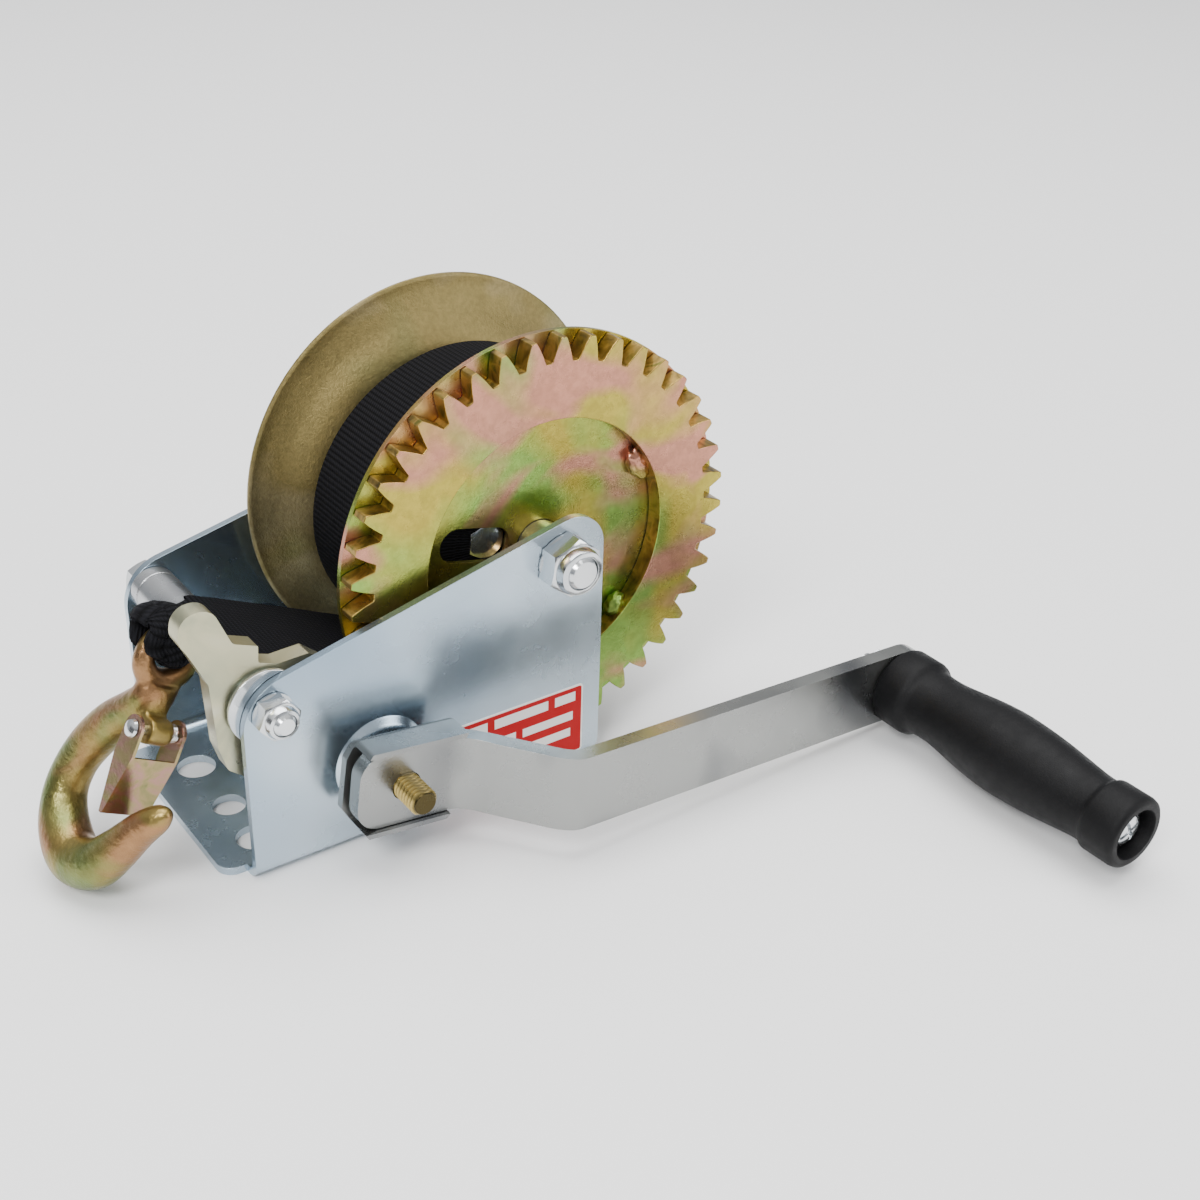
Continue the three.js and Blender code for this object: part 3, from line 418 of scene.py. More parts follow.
def strips(rows, count, wrap):
    """Faces between rows of points, each closed on itself; wrap joins the last row to the first."""
    faces = []
    for i in range(rows if wrap else rows - 1):
        j = (i + 1) % rows
        for k in range(count):
            m = (k + 1) % count
            faces.append((i * count + k, i * count + m, j * count + m, j * count + k))
    return faces


def turned(name, axis, profile, sides=72, place=Matrix()):
    """Revolves a closed list of (radius, y) about the Y axis through axis."""
    points = [about(axis, r, 2 * math.pi * i / sides, y) for i in range(sides) for r, y in profile]
    return outward(raw(name, points, strips(sides, len(profile), True), place=place), merge=True)


LYING = Matrix(((1, 0, 0), (0, 0, 1), (0, 1, 0))).to_4x4()  # turns a plate's depth from Y to Z


def slab(name, outline, y0, y1, holes=(), place=Matrix()):
    """A flat plate between y0 and y1, from an outline and holes of (x, z)."""
    loops = [list(outline), *[list(h) for h in holes]]
    triangles = tessellate_polygon([[Vector((a, b, 0)) for a, b in loop] for loop in loops])
    flat = [p for loop in loops for p in loop]
    n = len(flat)
    points = [(a, y, b) for y in (y0, y1) for a, b in flat]
    faces = list(triangles) + [tuple(n + k for k in reversed(t)) for t in triangles]
    base = 0
    for loop in loops:
        for k in range(len(loop)):
            m = (k + 1) % len(loop)
            faces.append((base + k, base + m, n + base + m, n + base + k))
        base += len(loop)
    return outward(raw(name, points, faces, place=place))


def circle(c, r, sides, start=0.0):
    return [polar(c, r, start + 2 * math.pi * k / sides) for k in range(sides)]


def rounded(corners, steps=8):
    """An outline through corners (a, b) or (a, b, radius)."""
    out = []
    for i, corner in enumerate(corners):
        here = Vector(corner[:2])
        radius = corner[2] if len(corner) > 2 else 0
        if not radius:
            out.append(tuple(here))
            continue
        back, on = ((Vector(corners[(i + k) % len(corners)][:2]) - here).normalized() for k in (-1, 1))
        half = math.acos(max(-1, min(1, back.dot(on)))) / 2
        middle = here + (back + on).normalized() * radius / math.sin(half)
        first, last = (here + way * radius / math.tan(half) - middle for way in (back, on))
        turn = math.atan2(first.x * last.y - first.y * last.x, first.dot(last))
        for k in range(steps + 1):
            c, s = math.cos(turn * k / steps), math.sin(turn * k / steps)
            out.append((middle.x + first.x * c - first.y * s, middle.y + first.x * s + first.y * c))
    return out


def rectangle(a0, a1, b0, b1, radius=0.0, steps=8):
    return rounded([(a0, b0, radius), (a1, b0, radius), (a1, b1, radius), (a0, b1, radius)], steps)


def beside(items, i):
    """The items before and after one, where an end also counts as its own neighbour."""
    return items[max(i - 1, 0)], items[min(i + 1, len(items) - 1)]


def oval(c, u, v, sides):
    """Points round c, whose half axes are u and v."""
    return [c + u * math.cos(a) + v * math.sin(a) for a in (2 * math.pi * k / sides for k in range(sides))]


def loft(name, rings, uvs=None):
    """A solid through rings of points, closed at both ends."""
    count = len(rings[0])
    end = (len(rings) - 1) * count
    caps = [tuple(reversed(range(count))), tuple(end + k for k in range(count))]
    points = [p for ring in rings for p in ring]
    return outward(raw(name, points, caps + strips(len(rings), count, False), uvs))


def spline(a, b, c, d, t):
    """Catmull-Rom between b and c."""
    square = (2 * a - 5 * b + 4 * c - d) * t * t
    return 0.5 * (2 * b + (c - a) * t + square + (3 * b - a - 3 * c + d) * t ** 3)


def smooth_path(stations, per):
    """A smooth line through stations of numbers, with so many steps between two of them."""
    out = []
    last = len(stations) - 1
    for i in range(last):
        near = [stations[max(i - 1, 0)], stations[i], stations[i + 1], stations[min(i + 2, last)]]
        for k in range(per):
            out.append(tuple(spline(*values, k / per) for values in zip(*near)))
    out.append(tuple(stations[-1]))
    return out


# ---------- Pieces ----------

BODY_OF = {n: b for b, members in frame["record"]["behaviour"]["bodies"].items() for n in members}


def piece(o, body, material, node=None, width=0.0, angle=32, segments=3):
    """Finishes an object: its material, edges, body, and the CAD node that it stands for."""
    o.data.materials.clear()
    o.data.materials.append(material)
    shade(o, angle)
    if width:
        bevel(o, width, segments, angle)
    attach(o, body)
    if node:
        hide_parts(node)
    return o


def put(o, material, node, width=0.0, angle=32, segments=3):
    """Finishes a plain solid that stands for a CAD node, on that node's body."""
    with editing(o) as bm:
        bmesh.ops.dissolve_limit(bm, angle_limit=math.radians(0.4), verts=bm.verts, edges=bm.edges)
    return piece(o, BODY_OF[node], material, node, width, angle, segments)


def made(name, bm):
    """An object from a mesh that has been edited."""
    mesh = bpy.data.meshes.new(name)
    bm.to_mesh(mesh)
    bm.free()
    return linked(name, mesh)


def join(name, parts):
    bm = bmesh.new()
    for p in parts:
        bm.from_mesh(p.data)
        bpy.data.objects.remove(p)
    return made(name, bm)


def rod(name, axis, y0, y1, radius):
    return turned(name, axis, [(0, y0), (radius, y0), (radius, y1), (0, y1)])


def ring(node, axis, outer, inner, material, width=0.4):
    y0, y1 = span(node)
    profile = [(inner, y0), (outer, y0), (outer, y1), (inner, y1)]
    put(turned(node + "_look", axis, profile), material, node, width)


def plate(node, outline, holes, material, width, angle=40, segments=3):
    """A flat piece between a node's own two faces."""
    return put(slab(node + "_look", outline, *span(node), holes), material, node, width, angle, segments)


def hexagon(name, axis, y0, y1, flats, turn, chamfer=(True, True)):
    """A hexagonal prism with its corners chamfered like a nut's."""
    r = flats / math.sqrt(3)
    prism = slab(name, circle(axis, r, 6, math.pi / 2 - math.radians(turn)), y0, y1)
    inner, outer = flats * 0.475, r + 0.2
    drop = (outer - inner) * 0.56
    profile = [(0, y0), (inner, y0), (outer, y0 + drop)] if chamfer[0] else [(0, y0), (outer, y0)]
    profile += [(outer, y1 - drop), (inner, y1), (0, y1)] if chamfer[1] else [(outer, y1), (0, y1)]
    return combine(prism, turned("chamfer", axis, profile, 96), "INTERSECT")


def thread(name, axis, y0, y1, radius, pitch, depth=0.55):
    """A threaded end from y0, its tip, to y1."""
    profile = [(0, y0), (radius - 1.1, y0), (radius - depth, y0 + 0.7)]
    y = y0 + 0.7
    while y + pitch < y1:
        profile += [(radius, y + pitch * 0.45), (radius, y + pitch * 0.6), (radius - depth, y + pitch)]
        y += pitch
    profile += [(radius, y1), (0, y1)]
    return turned(name, axis, profile, 48)


# ---------- The free webbing ----------

WEB_WIDTH, WEB_THICK = 50.0, 1.2
TAIL_Y = -6.0  # the middle of the free webbing
TUBE_R, ROLL_R = 8.5, 57.0  # what it runs over and what it leaves
FOLDED_WIDTH, FOLDED_THICK = 23.0, 4.6  # where it is folded over the eye
HELD_WIDTH, HELD_THICK = 10.8, 9.4  # where it is pulled together in the eye
CROWN = EYE_R + EYE_BAR + 2.5  # how it bends over the top of the eye
ASIDE = 2.8  # how far to one side of the eye it is folded
LAYER = 1.5  # the step of the layers at its folded edges
TAIL_STEPS = 120  # points round its section


def stadium(width, thick, steps):
    """A round-edged band's outline, as (across, up) points an equal way apart."""
    flat, r = width - thick, thick / 2
    half = flat + math.pi * r
    out = []
    for k in range(steps):
        turn = 1 if 2 * k < steps else -1
        way = 2 * half * k / steps - (half if turn < 0 else 0)
        if way < flat:
            out.append((turn * (way - flat / 2), turn * r))
        else:
            lean = (way - flat) / r
            out.append((turn * (flat / 2 + r * math.sin(lean)), turn * r * math.cos(lean)))
    return out


def clamp(t):
    return max(0.0, min(1.0, t))


def ease(t):
    t = clamp(t)
    return t * t * (3 - 2 * t)


def tail_stations():
    """Along the webbing's middle: (place, across, width, thickness, bend over the eye)."""
    around = TUBE_R + 0.25 + WEB_THICK / 2
    below = ROLL_R + 0.3 + WEB_THICK / 2
    run = Vector((AXLE.x - TIE.x, AXLE.z - TIE.z))
    slope = math.atan2(run.y, run.x) - math.asin((around + below) / run.length)
    start = Vector((AXLE.x + below * math.sin(slope), TAIL_Y, AXLE.z - below * math.cos(slope)))
    touch, wrap = slope + math.pi / 2, math.radians(24)
    free, bent = 50, 8  # the steps of the straight run and of the bend over the tube
    places = [start.lerp(about(TIE, around, touch, TAIL_Y), k / free) for k in range(free)]
    places += [about(TIE, around, touch + wrap * k / bent, TAIL_Y) for k in range(bent)]
    top = about(TIE, around, touch + wrap, TAIL_Y)
    flat = Vector((0, 1, 0))
    out = [(place, flat, WEB_WIDTH, WEB_THICK, 0.0) for place in places]
    crest = BAR + (EYE_BAR + 0.4 + FOLDED_THICK / 2) * ALONG - ASIDE * ACROSS
    # From the tube to the top of the eye: place, width, thickness and part of the turn.
    knots = [
        (*top, WEB_WIDTH, WEB_THICK, 0.0),
        (*(top + Vector((-5.0, 0.4, 2.6))), 37, 1.9, 0.10),
        (*(top + Vector((-9.4, 0.2, 8.2))), 26, 3.2, 0.42),
        (*(crest - 5.2 * SIDE - 0.8 * ALONG), FOLDED_WIDTH, 4.3, 0.85),
        (*crest, FOLDED_WIDTH, FOLDED_THICK, 1.0),
    ]
    before = Matrix((flat, Vector((-1, 0, 0)), Vector((0, 0, 1)))).transposed().to_quaternion()
    after = Matrix((-ACROSS, SIDE, ALONG)).transposed().to_quaternion()
    for x, y, z, width, thick, t in smooth_path(knots, 10):
        across = before.slerp(after, clamp(t)) @ Vector((1, 0, 0))
        out.append((Vector((x, y, z)), across, width, thick, ease((t - 0.5) * 2)))
    # Round the eye's bar, from its top through the eye and back.
    first, last, steps = math.pi, math.radians(-125), 64
    for k in range(1, steps + 1):
        a = first + (last - first) * k / steps
        held = 1 - ease((abs(a) - math.radians(20)) / math.radians(45))
        width = FOLDED_WIDTH + (HELD_WIDTH - FOLDED_WIDTH) * held
        thick = FOLDED_THICK + (HELD_THICK - FOLDED_THICK) * held
        radial = SIDE * math.sin(a) - ALONG * math.cos(a)
        place = BAR + (EYE_BAR + 0.4 + thick / 2) * radial - ASIDE * (1 - held) * ACROSS
        out.append((place, -ACROSS, width, thick, max(0.0, -math.cos(a))))
    return out


def build_tail():
    """The webbing from the roll over the tie tube, folded into layers and looped through the eye."""
    stations = tail_stations()
    places = [s[0] for s in stations]
    rings, maps, length = [], [], 0.0
    for i, (place, across, width, thick, bend) in enumerate(stations):
        before, after = beside(places, i)
        run = (after - before).normalized()
        across = (across - run * across.dot(run)).normalized()
        up = across.cross(run)
        if i:
            length += (place - places[i - 1]).length
        folded = clamp((WEB_WIDTH - width) / (WEB_WIDTH - FOLDED_WIDTH))
        points = []
        for a, b in stadium(width, thick, TAIL_STEPS):
            if abs(a) > (width - thick) / 2:
                # The layers' edges show at the sides of the fold.
                layer = 0.5 + 0.5 * math.cos(2 * math.pi * b / LAYER + math.pi)
                a -= math.copysign(0.55 * folded * layer, a)
            elif b > 0:
                # Two creases run along its top.
                b -= folded * sum(0.8 * math.exp(-((a - spot * width) / 0.7) ** 2) for spot in (-0.17, 0.24))
            b -= bend * (CROWN - math.sqrt(max(0.0, CROWN * CROWN - a * a)))
            b += 0.35 * noise.noise(Vector((length * 0.05, a * 0.09, 3))) * min(1, length / 20)
            points.append(place + across * a + up * b)
            maps.append((length, a))
        rings.append(points)
    o = piece(loft("strap_tail_webbing", rings, maps), "frame", WEBBING, "strap_tail", angle=50)


build_tail()


def build_roll():
    """The wound webbing: a spiral whose outer end leaves at the bottom."""
    y0, y1 = span("strap_roll")
    inner, layer, margin = 12.9, 1.3, 0.8
    layers = int((ROLL_R - inner) / layer)
    leave = math.radians(-114)
    turns, across = 200, 14  # the steps round the roll and across its face
    low = [y0 + margin + 0.7 * noise.noise(Vector((j * 0.9, 2, 0))) for j in range(layers + 1)]
    high = [y1 - margin + 0.9 * noise.noise(Vector((j * 0.7, 9, 0))) for j in range(layers + 1)]
    points, maps = [], []
    for i in range(turns + 1):
        part = i / turns
        angle = leave + 2 * math.pi * part
        deep = ROLL_R - inner + layer * (part - 1)
        bulge = 3.2 * max(0.0, math.cos(angle - math.radians(190))) ** 2
        radii = [inner + deep * j / layers + bulge * (j / layers) ** 3 for j in range(layers + 1)]
        # Every second layer stands a little inside the next at both edges.
        line = [(r, low[j] + (0.18 if j % 2 else 0)) for j, r in enumerate(radii)]
        for k in range(1, across):
            y = y0 + margin + (y1 - y0 - 2 * margin) * k / across
            line.append((radii[-1] + 0.25 * noise.noise(Vector((angle * 2, y * 0.05, 5))), y))
        line += [(radii[j], high[j] - (0.18 if j % 2 else 0)) for j in range(layers, -1, -1)]
        for r, y in line:
            points.append(about(AXLE, r, angle, y))
            maps.append((angle * ROLL_R, y))
    # The last row is joined to the first, which makes the step where the outer end leaves.
    faces = strips(turns + 1, len(points) // (turns + 1), True)
    piece(outward(raw("strap_roll_webbing", points, faces, maps)), "drum", WEBBING, "strap_roll", angle=40)


build_roll()


# ---------- Frame ----------

def build_frame():
    high = 120  # above both side plates, which are then cut to their outline
    section = rounded([
        (-OUTER, 0, 7), (OUTER, 0, 7), (OUTER, high), (INNER, high), (INNER, PLATE, 4), (-INNER, PLATE, 4),
        (-INNER, high), (-OUTER, high),
    ], 10)
    body = slab("frame_plate", section, FRONT, REAR, place=Matrix.Rotation(math.pi / 2, 4, "Z"))
    side = rounded([(FRONT, -1), (REAR, -1), (REAR, 106.5, 13), (FRONT, 73.1, 18)], 14)
    combine(body, slab("side", side, -60, 60), "INTERSECT")
    edge, lip = OUTER - 8, 78.5  # the base stands out past the side plates at both ends
    combine(body, slab("base", rectangle(-lip, lip, -edge, edge, 6), 0, PLATE, place=LYING), "UNION")
    dome = [
        (0, 49), (17.4, 49), (17.2, 49.9), (16.4, 50.5), (15.2, 51.6), (14.2, 52.3), (13.2, 52.5), (0, 52.5),
    ]
    dent = [(0, 46.5), (14.6, 46.5), (14.4, 47.1), (12.6, 48.7), (11.4, 49.5), (0, 49.5)]
    for s in (-1, 1):
        combine(body, turned("dome", SHAFT, [(r, s * y) for r, y in dome]), "UNION")
        cut(body, turned("dent", SHAFT, [(r, s * y) for r, y in dent]))
    cutters = [rod("c", SHAFT, -60, 60, 10), rod("c", AXLE, -60, 60, 6.3), rod("c", TIE, -60, 60, 4.3)]
    for x in (-61, 61):
        for y, r in ((-30, 7), (-8, 6), (20, 7)):
            cutters.append(slab("c", circle((x, y), r, 64), -2, 6, place=LYING))
    cut(body, join("cutters", cutters))
    put(body, ZINC, "frame", 0.45, 34)


build_frame()

for side, node in ((-1, "shaft_bushing_near"), (1, "shaft_bushing_far")):
    a, b, c = side * 46.8, side * 52.8, side * 54.1
    flange = [(8.3, a), (9.7, a), (9.7, b), (11.6, b), (11.6, c), (8.3, c)]
    put(turned(node + "_look", SHAFT, flange), ZINC, node, 0.4)


# ---------- Label ----------

def build_label():
    """A red panel with plain bars in place of its print."""
    (x0, x1), (z0, z1), (y, _) = span("label", "X"), span("label", "Z"), span("label")

    def patch(name, a0, a1, b0, b1, lift, radius=0.0):
        return slab(name, rectangle(a0, a1, b0, b1, radius, 5), y - lift, y + 0.3)

    edge = 0.7
    put(patch("label_edge", x0, x1, z0, z1, 0.0, 1.5), WHITE, "label")
    red = patch("label_face", x0 + edge, x1 - edge, z0 + edge, z1 - edge, 0.04, 1.0)
    piece(red, "frame", RED)
    bars = []
    # Each row of bars: its lower edge, its height, and where its bars start and end along X.
    rows = [
        (27.5, 4.0, (3, 21, 24, 47, 50, 59)),
        (19.6, 3.6, (3, 12, 15, 33, 36, 58)),
        (12.6, 3.6, (6, 30, 33, 57)),
    ]
    for z, high, ends in rows:
        for a, b in zip(ends[::2], ends[1::2]):
            bars.append(patch("bar", a, b, z, z + high, 0.07))
    piece(join("label_bars", bars), "frame", WHITE)


build_label()


# ---------- Fasteners ----------

def hex_bolt(node, axis, radius, flats, head, pitch):
    y0, _ = span(node)
    seat = OUTER + 0.3
    parts = [
        hexagon("head", axis, seat, seat + head, flats, 10, (False, True)),
        turned("shank", axis, [(0, -50), (radius, -50), (radius, seat + 1), (0, seat + 1)]),
        thread("thread", axis, y0, -49.5, radius, pitch),
    ]
    put(join(node + "_look", parts), BRIGHT, node, 0.15)


def lock_nut(node, axis, bore, flats, high, collar, turn):
    seat = -OUTER - 0.3
    top = seat - high - collar
    r = flats / 2 - 0.6
    body = hexagon("hex", axis, seat - high, seat, flats, turn, (True, False))
    crown = turned("crown", axis, [
        (bore, seat - high + 0.5), (r, seat - high + 0.5), (r, seat - high - collar * 0.35),
        (r - 0.7, top + 0.4), (r - 1.7, top), (bore + 0.25, top),
    ])
    wide, thin = flats / 2 + 0.6, 0.6
    washer = turned("flange", axis, [(bore, seat), (wide, seat), (wide, seat - thin), (bore, seat - thin)])
    put(join(node + "_look", [body, crown, washer]), BRIGHT, node, 0.2)


def plain_nut(node, axis, flats, turn):
    put(hexagon(node + "_look", axis, *span(node), flats, turn), BRIGHT, node, 0.2)


hex_bolt("axle_bolt", AXLE, 6, 18, 7.5, 1.75)
lock_nut("axle_nut", AXLE, 6, 19, 8.5, 3.8, 8)
hex_bolt("tie_bolt", TIE, 4, 13, 5.5, 1.25)
lock_nut("tie_nut", TIE, 4, 13, 6.5, 2.8, 20)
ring("axle_sleeve", AXLE, 8.7, 6.3, BRIGHT)
ring("tie_bush", TIE, 8.5, 4.3, TUBE)
ring("tie_tube", TIE, 8.5, 4.3, TUBE, 0.5)
ring("pawl_washer", TIE, 13.4, 4.3, BRIGHT, 0.3)
ring("pawl_shim", TIE, 12.2, 4.3, ZINC, 0.2)
ring("pawl_sleeve", TIE, 6, 4.3, ZINC)


# ---------- Drum ----------

def gear_outline(axis, teeth, flank, angle):
    """A gear's outline, from (radius, thickness) up a flank; the first tooth points along the angle."""
    points = []
    for i in range(teeth):
        middle = angle + i * 2 * math.pi / teeth
        rise = [(r, -w / (2 * r)) for r, w in flank]
        fall = [(r, w / (2 * r)) for r, w in reversed(flank)]
        for r, off in rise + fall:
            points.append(polar(axis, r, middle + off))
    return points


def walls(o, material):
    """Gives the faces that stand square to the axle their own material."""
    o.data.materials.append(material)
    for p in o.data.polygons:
        if abs(p.normal.y) < 0.7:
            p.material_index = 1


GEAR_TEETH, PINION_TEETH = 41, 10
GEAR_ANGLE = math.radians(-19.2)  # where one of the gear's teeth points
GEAR_FLANK = [
    (69.6, 8.6), (69.9, 8.15), (71.4, 7.25), (72.9, 6.35),
    (74.4, 5.3), (75.9, 4.15), (77.2, 3.05), (78.1, 2.1),
]
teeth = gear_outline(AXLE, GEAR_TEETH, GEAR_FLANK, GEAR_ANGLE)
walls(plate("gear_ring", teeth, [circle(AXLE, 49, 120)], GEAR, 0.35), GEAR_WALL)


def weld(name, angle, radius, size, y):
    """A small lump of weld at the ring's inner edge."""
    bm = bmesh.new()
    bmesh.ops.create_icosphere(bm, subdivisions=4, radius=1)
    for v in bm.verts:
        lump = 1 + 0.22 * noise.noise(v.co * 2.2 + Vector((angle, 3, 1)))
        v.co = v.co * Vector(size) * lump
    a = math.radians(angle)
    spot = Matrix.Translation(about(AXLE, radius, a, y) * MM)
    o = made(name, bm)
    o.data.transform(spot @ Matrix.Rotation(-a, 4, "Y") @ Matrix.Diagonal((MM, MM, MM, 1)))
    o.data.update()
    piece(o, "drum", GEAR, angle=80)


weld("weld_upper", 26.5, 46.8, (4.0, 3.0, 7.0), -36.0)
weld("weld_lower", -46.2, 47.6, (3.4, 3.4, 4.8), -36.6)


def anchor_slot(half, near, far, steps=24):
    """The oval slot, from near to far from the axle, with round ends."""
    a = math.radians(167)
    out = []
    for base, turn in ((far, a - math.pi / 2), (near, a + math.pi / 2)):
        out += [polar(polar(AXLE, base, a), half, turn + math.pi * k / steps) for k in range(steps + 1)]
    return out


holes = [circle(AXLE, 9, 64), anchor_slot(6.4, 19, 34.5)]
plate("drum_disc_near", circle(AXLE, 78.4, 160), holes, GEAR, 0.4)


def offset(line, by):
    """A line of (a, b) points moved sideways, to its left for a positive distance."""
    out = []
    for i, (a, b) in enumerate(line):
        (a0, b0), (a1, b1) = beside(line, i)
        size = math.hypot(a1 - a0, b1 - b0)
        out.append((a - by * (b1 - b0) / size, b + by * (a1 - a0) / size))
    return out


def build_far_disc():
    face = span("drum_disc_far")[0]
    flare = [(46, 0), (51, 0.2), (58, 2.9), (65.5, 7.6), (72, 10.4), (75.9, 11.2)]
    inside = [(9, face), (40, face)] + smooth_path([(r, face + rise) for r, rise in flare], 8)
    rim = [(76.7, face + 11.8), (76.8, face + 12.6)]
    o = turned("drum_disc_far_look", AXLE, inside + rim + offset(inside, 2.0)[::-1], 160)
    put(o, DRUM, "drum_disc_far", 0.0, 40)


build_far_disc()
ring("drum_core", AXLE, 12.5, 9, DRUM)

ANCHOR = centre("strap_anchor_bolt")
y0, y1 = span("strap_anchor_bolt")
anchor = [
    hexagon("head", ANCHOR, y0, y0 + 5.3, 13, 4, (True, False)),
    rod("shank", ANCHOR, y0 + 5, y1 - 8, 4),
    turned("end", ANCHOR, [(0, y1 - 8.2), (4, y1 - 8.2), (4, y1 - 0.8), (3.2, y1), (0, y1)]),
]
put(join("strap_anchor_bolt_look", anchor), BRIGHT, "strap_anchor_bolt", 0.2)
plain_nut("strap_anchor_nut", ANCHOR, 13, 0)


# ---------- Shaft, pinion, ratchet ----------

TILT = math.radians(-7)  # how far the crank leans at the shaft


def tilted(o, angle=TILT):
    """Turns a finished mesh about the shaft; X goes towards Z for a positive angle."""
    c = SHAFT * MM
    o.data.transform(Matrix.Translation(c) @ Matrix.Rotation(-angle, 4, "Y") @ Matrix.Translation(-c))
    o.data.update()
    return o


def flatted(name, y0, y1, half):
    """What two flats leave of a shaft, half their distance from the middle."""
    x, z, wide = SHAFT.x, SHAFT.z, 9
    return tilted(slab(name, rectangle(x - wide, x + wide, z - half, z + half), y0, y1))


def build_shaft():
    y0, y1 = span("drive_shaft")
    stub = thread("stub", SHAFT, y0, -54.7, 5, 1.75, 1.0)
    combine(stub, flatted("flats", y0 - 1, -50, 4.25), "INTERSECT")
    groove = [(8, 54.3), (6.8, 54.3), (6.8, 56.1), (8, 56.1)]  # for the clip
    profile = [(0, -55.7), (7.6, -55.7), (8, -55.3), *groove, (8, 57.4), (7.4, y1), (0, y1)]
    body = turned("body", SHAFT, profile)
    put(stub, STUB, "drive_shaft", 0.12, 40)
    stub.name = "drive_shaft_stub"
    body.name = "drive_shaft_look"
    piece(body, "crank", ZINC, width=0.2)


build_shaft()

PINION_FLANK = [
    (14, 5.2), (15, 5.35), (16.4, 5.4), (17.5, 5.1), (18.6, 4.6), (19.6, 3.85), (20.6, 2.9), (21.4, 1.9),
]
SHAFT_BORE = circle(SHAFT, 8.3, 64)


def build_pinion():
    """A pinion turned so that a gap between its teeth meets the gear's nearest tooth."""
    step = 2 * math.pi / GEAR_TEETH
    line = math.radians(217)
    lead = GEAR_ANGLE + round((line - GEAR_ANGLE) / step) * step - line
    angle = line + math.pi - lead * GEAR_TEETH / PINION_TEETH + math.pi / PINION_TEETH
    teeth = gear_outline(SHAFT, PINION_TEETH, PINION_FLANK, angle)
    plate("pinion", teeth, [SHAFT_BORE], GEAR, 0.3)


build_pinion()


def build_ratchet():
    count = 12
    teeth = []
    for i in range(count):
        for r, part in ((19, 0.04), (24, 0.78), (24, 0.98)):
            teeth.append(polar(SHAFT, r, (i + part) * 2 * math.pi / count))
    plate("ratchet_wheel", teeth, [SHAFT_BORE], GEAR, 0.3)


build_ratchet()
ring("shaft_spacer", SHAFT, 10.5, 8.3, ZINC)
ring("shaft_clip", SHAFT, 11, 7.1, ZINC, 0.2)


# ---------- Pawl ----------

def build_pawl():
    x, z = TIE.x, TIE.z
    outline = rounded([
        (x - 26.4, z + 31, 6.2), (x - 23.2, z + 25, 3), (x - 17.8, z + 13, 3), (x - 16.6, z - 12, 2),
        (x - 14, z - 21, 2), (x - 7, z - 27, 2), (x - 1, z - 22, 2), (x + 3, z - 13.5, 3),
        (x + 20, z - 5.5, 3), (x + 27.2, z - 9.3), (x + 24.5, z + 7, 2), (x + 17, z + 13.4, 1),
        (x + 6, z + 13), (x - 0.6, z + 15.5, 1), (x - 0.2, z + 21.6, 0.6), (x - 8.6, z + 25, 3),
        (x - 14.5, z + 39.6, 6.4), (x - 24.6, z + 39.6, 6.2),
    ], 10)
    plate("pawl", outline, [circle(TIE, 6.3, 64)], PAWL_ZINC, 0.9, 32, 4)


build_pawl()


def wire(name, path, radius, sides=12):
    """A round wire along a path of points."""
    rings, normal = [], None
    for i, p in enumerate(path):
        before, after = beside(path, i)
        run = (after - before).normalized()
        if normal is None:
            normal = run.orthogonal().normalized()
        normal = (normal - run * normal.dot(run)).normalized()
        rings.append(oval(p, radius * normal, radius * run.cross(normal), sides))
    return loft(name, rings)


def coil(axis, radius, y0, y1, turns, start=0.0, steps=36):
    """Points along a helix about an axis along Y, with so many steps to a turn."""
    rise, step = (y1 - y0) / (turns * steps), 2 * math.pi / steps
    return [about(axis, radius, start + step * k, y0 + rise * k) for k in range(int(turns * steps) + 1)]


y0, y1 = span("pawl_spring")
path = [Vector((TIE.x - 9.8, y0 + 0.9, TIE.z - 17))] + coil(TIE, 9.8, y0 + 0.9, y1 - 0.9, 2.5, math.pi)
put(wire("pawl_spring_wire", path, 0.8), BRIGHT, "pawl_spring", 0, 60)


# ---------- Crank ----------

def build_bracket():
    """A channel folded round the arm's end."""
    inside, outside = 14.7, 16.5
    back, front, lip = -56, -59, -69.9
    section = rounded([
        (-outside, back, 4), (-outside, lip), (-inside, lip), (-inside, front, 1.4),
        (inside, front, 1.4), (inside, lip), (outside, lip), (outside, back, 4),
    ], 8)
    # The section is drawn across the arm and along Y, and runs along the arm.
    place = Matrix.Translation(SHAFT) @ Matrix(((0, -1, 0), (0, 0, 1), (1, 0, 0))).to_4x4()
    o = slab("crank_bracket_look", section, -22, 24, place=place)
    x, z = SHAFT.x, SHAFT.z
    side = rounded([
        (x - 19, z - outside + 7, 2), (x - 14, z - outside - 0.01), (x + 16, z - outside - 0.01, 1),
        (x + 20, z - outside + 5, 1), (x + 20, z + outside - 4, 1), (x + 21.5, z + outside + 0.01),
        (x - 15, z + outside + 0.01, 1), (x - 18.5, z + outside - 7, 2),
    ], 6)
    combine(o, slab("side", side, -72, -54), "INTERSECT")
    put(tilted(o), ARM, "crank_bracket", 0.35, 34)


build_bracket()
ring("crank_washer", SHAFT, 10, 5.3, ZINC, 0.3)


def eased_ramp(t):
    """From 0 to 1 in a straight run with a round bend at each end."""
    bend = 0.3
    slope = 1 / (1 - bend)
    if t < bend:
        return slope * t * t / (2 * bend)
    if t > 1 - bend:
        return 1 - slope * (1 - t) ** 2 / (2 * bend)
    return slope * (t - bend / 2)


CRANK = (GRIP - SHAFT).length
CRANK_ANGLE = math.atan2(GRIP.z - SHAFT.z, GRIP.x - SHAFT.x)
ARM_IN, ARM_OUT = -67.9, -99.6  # its front face at the shaft and at the grip
ARM_WIDE, ARM_THICK = 28.8, 6.0


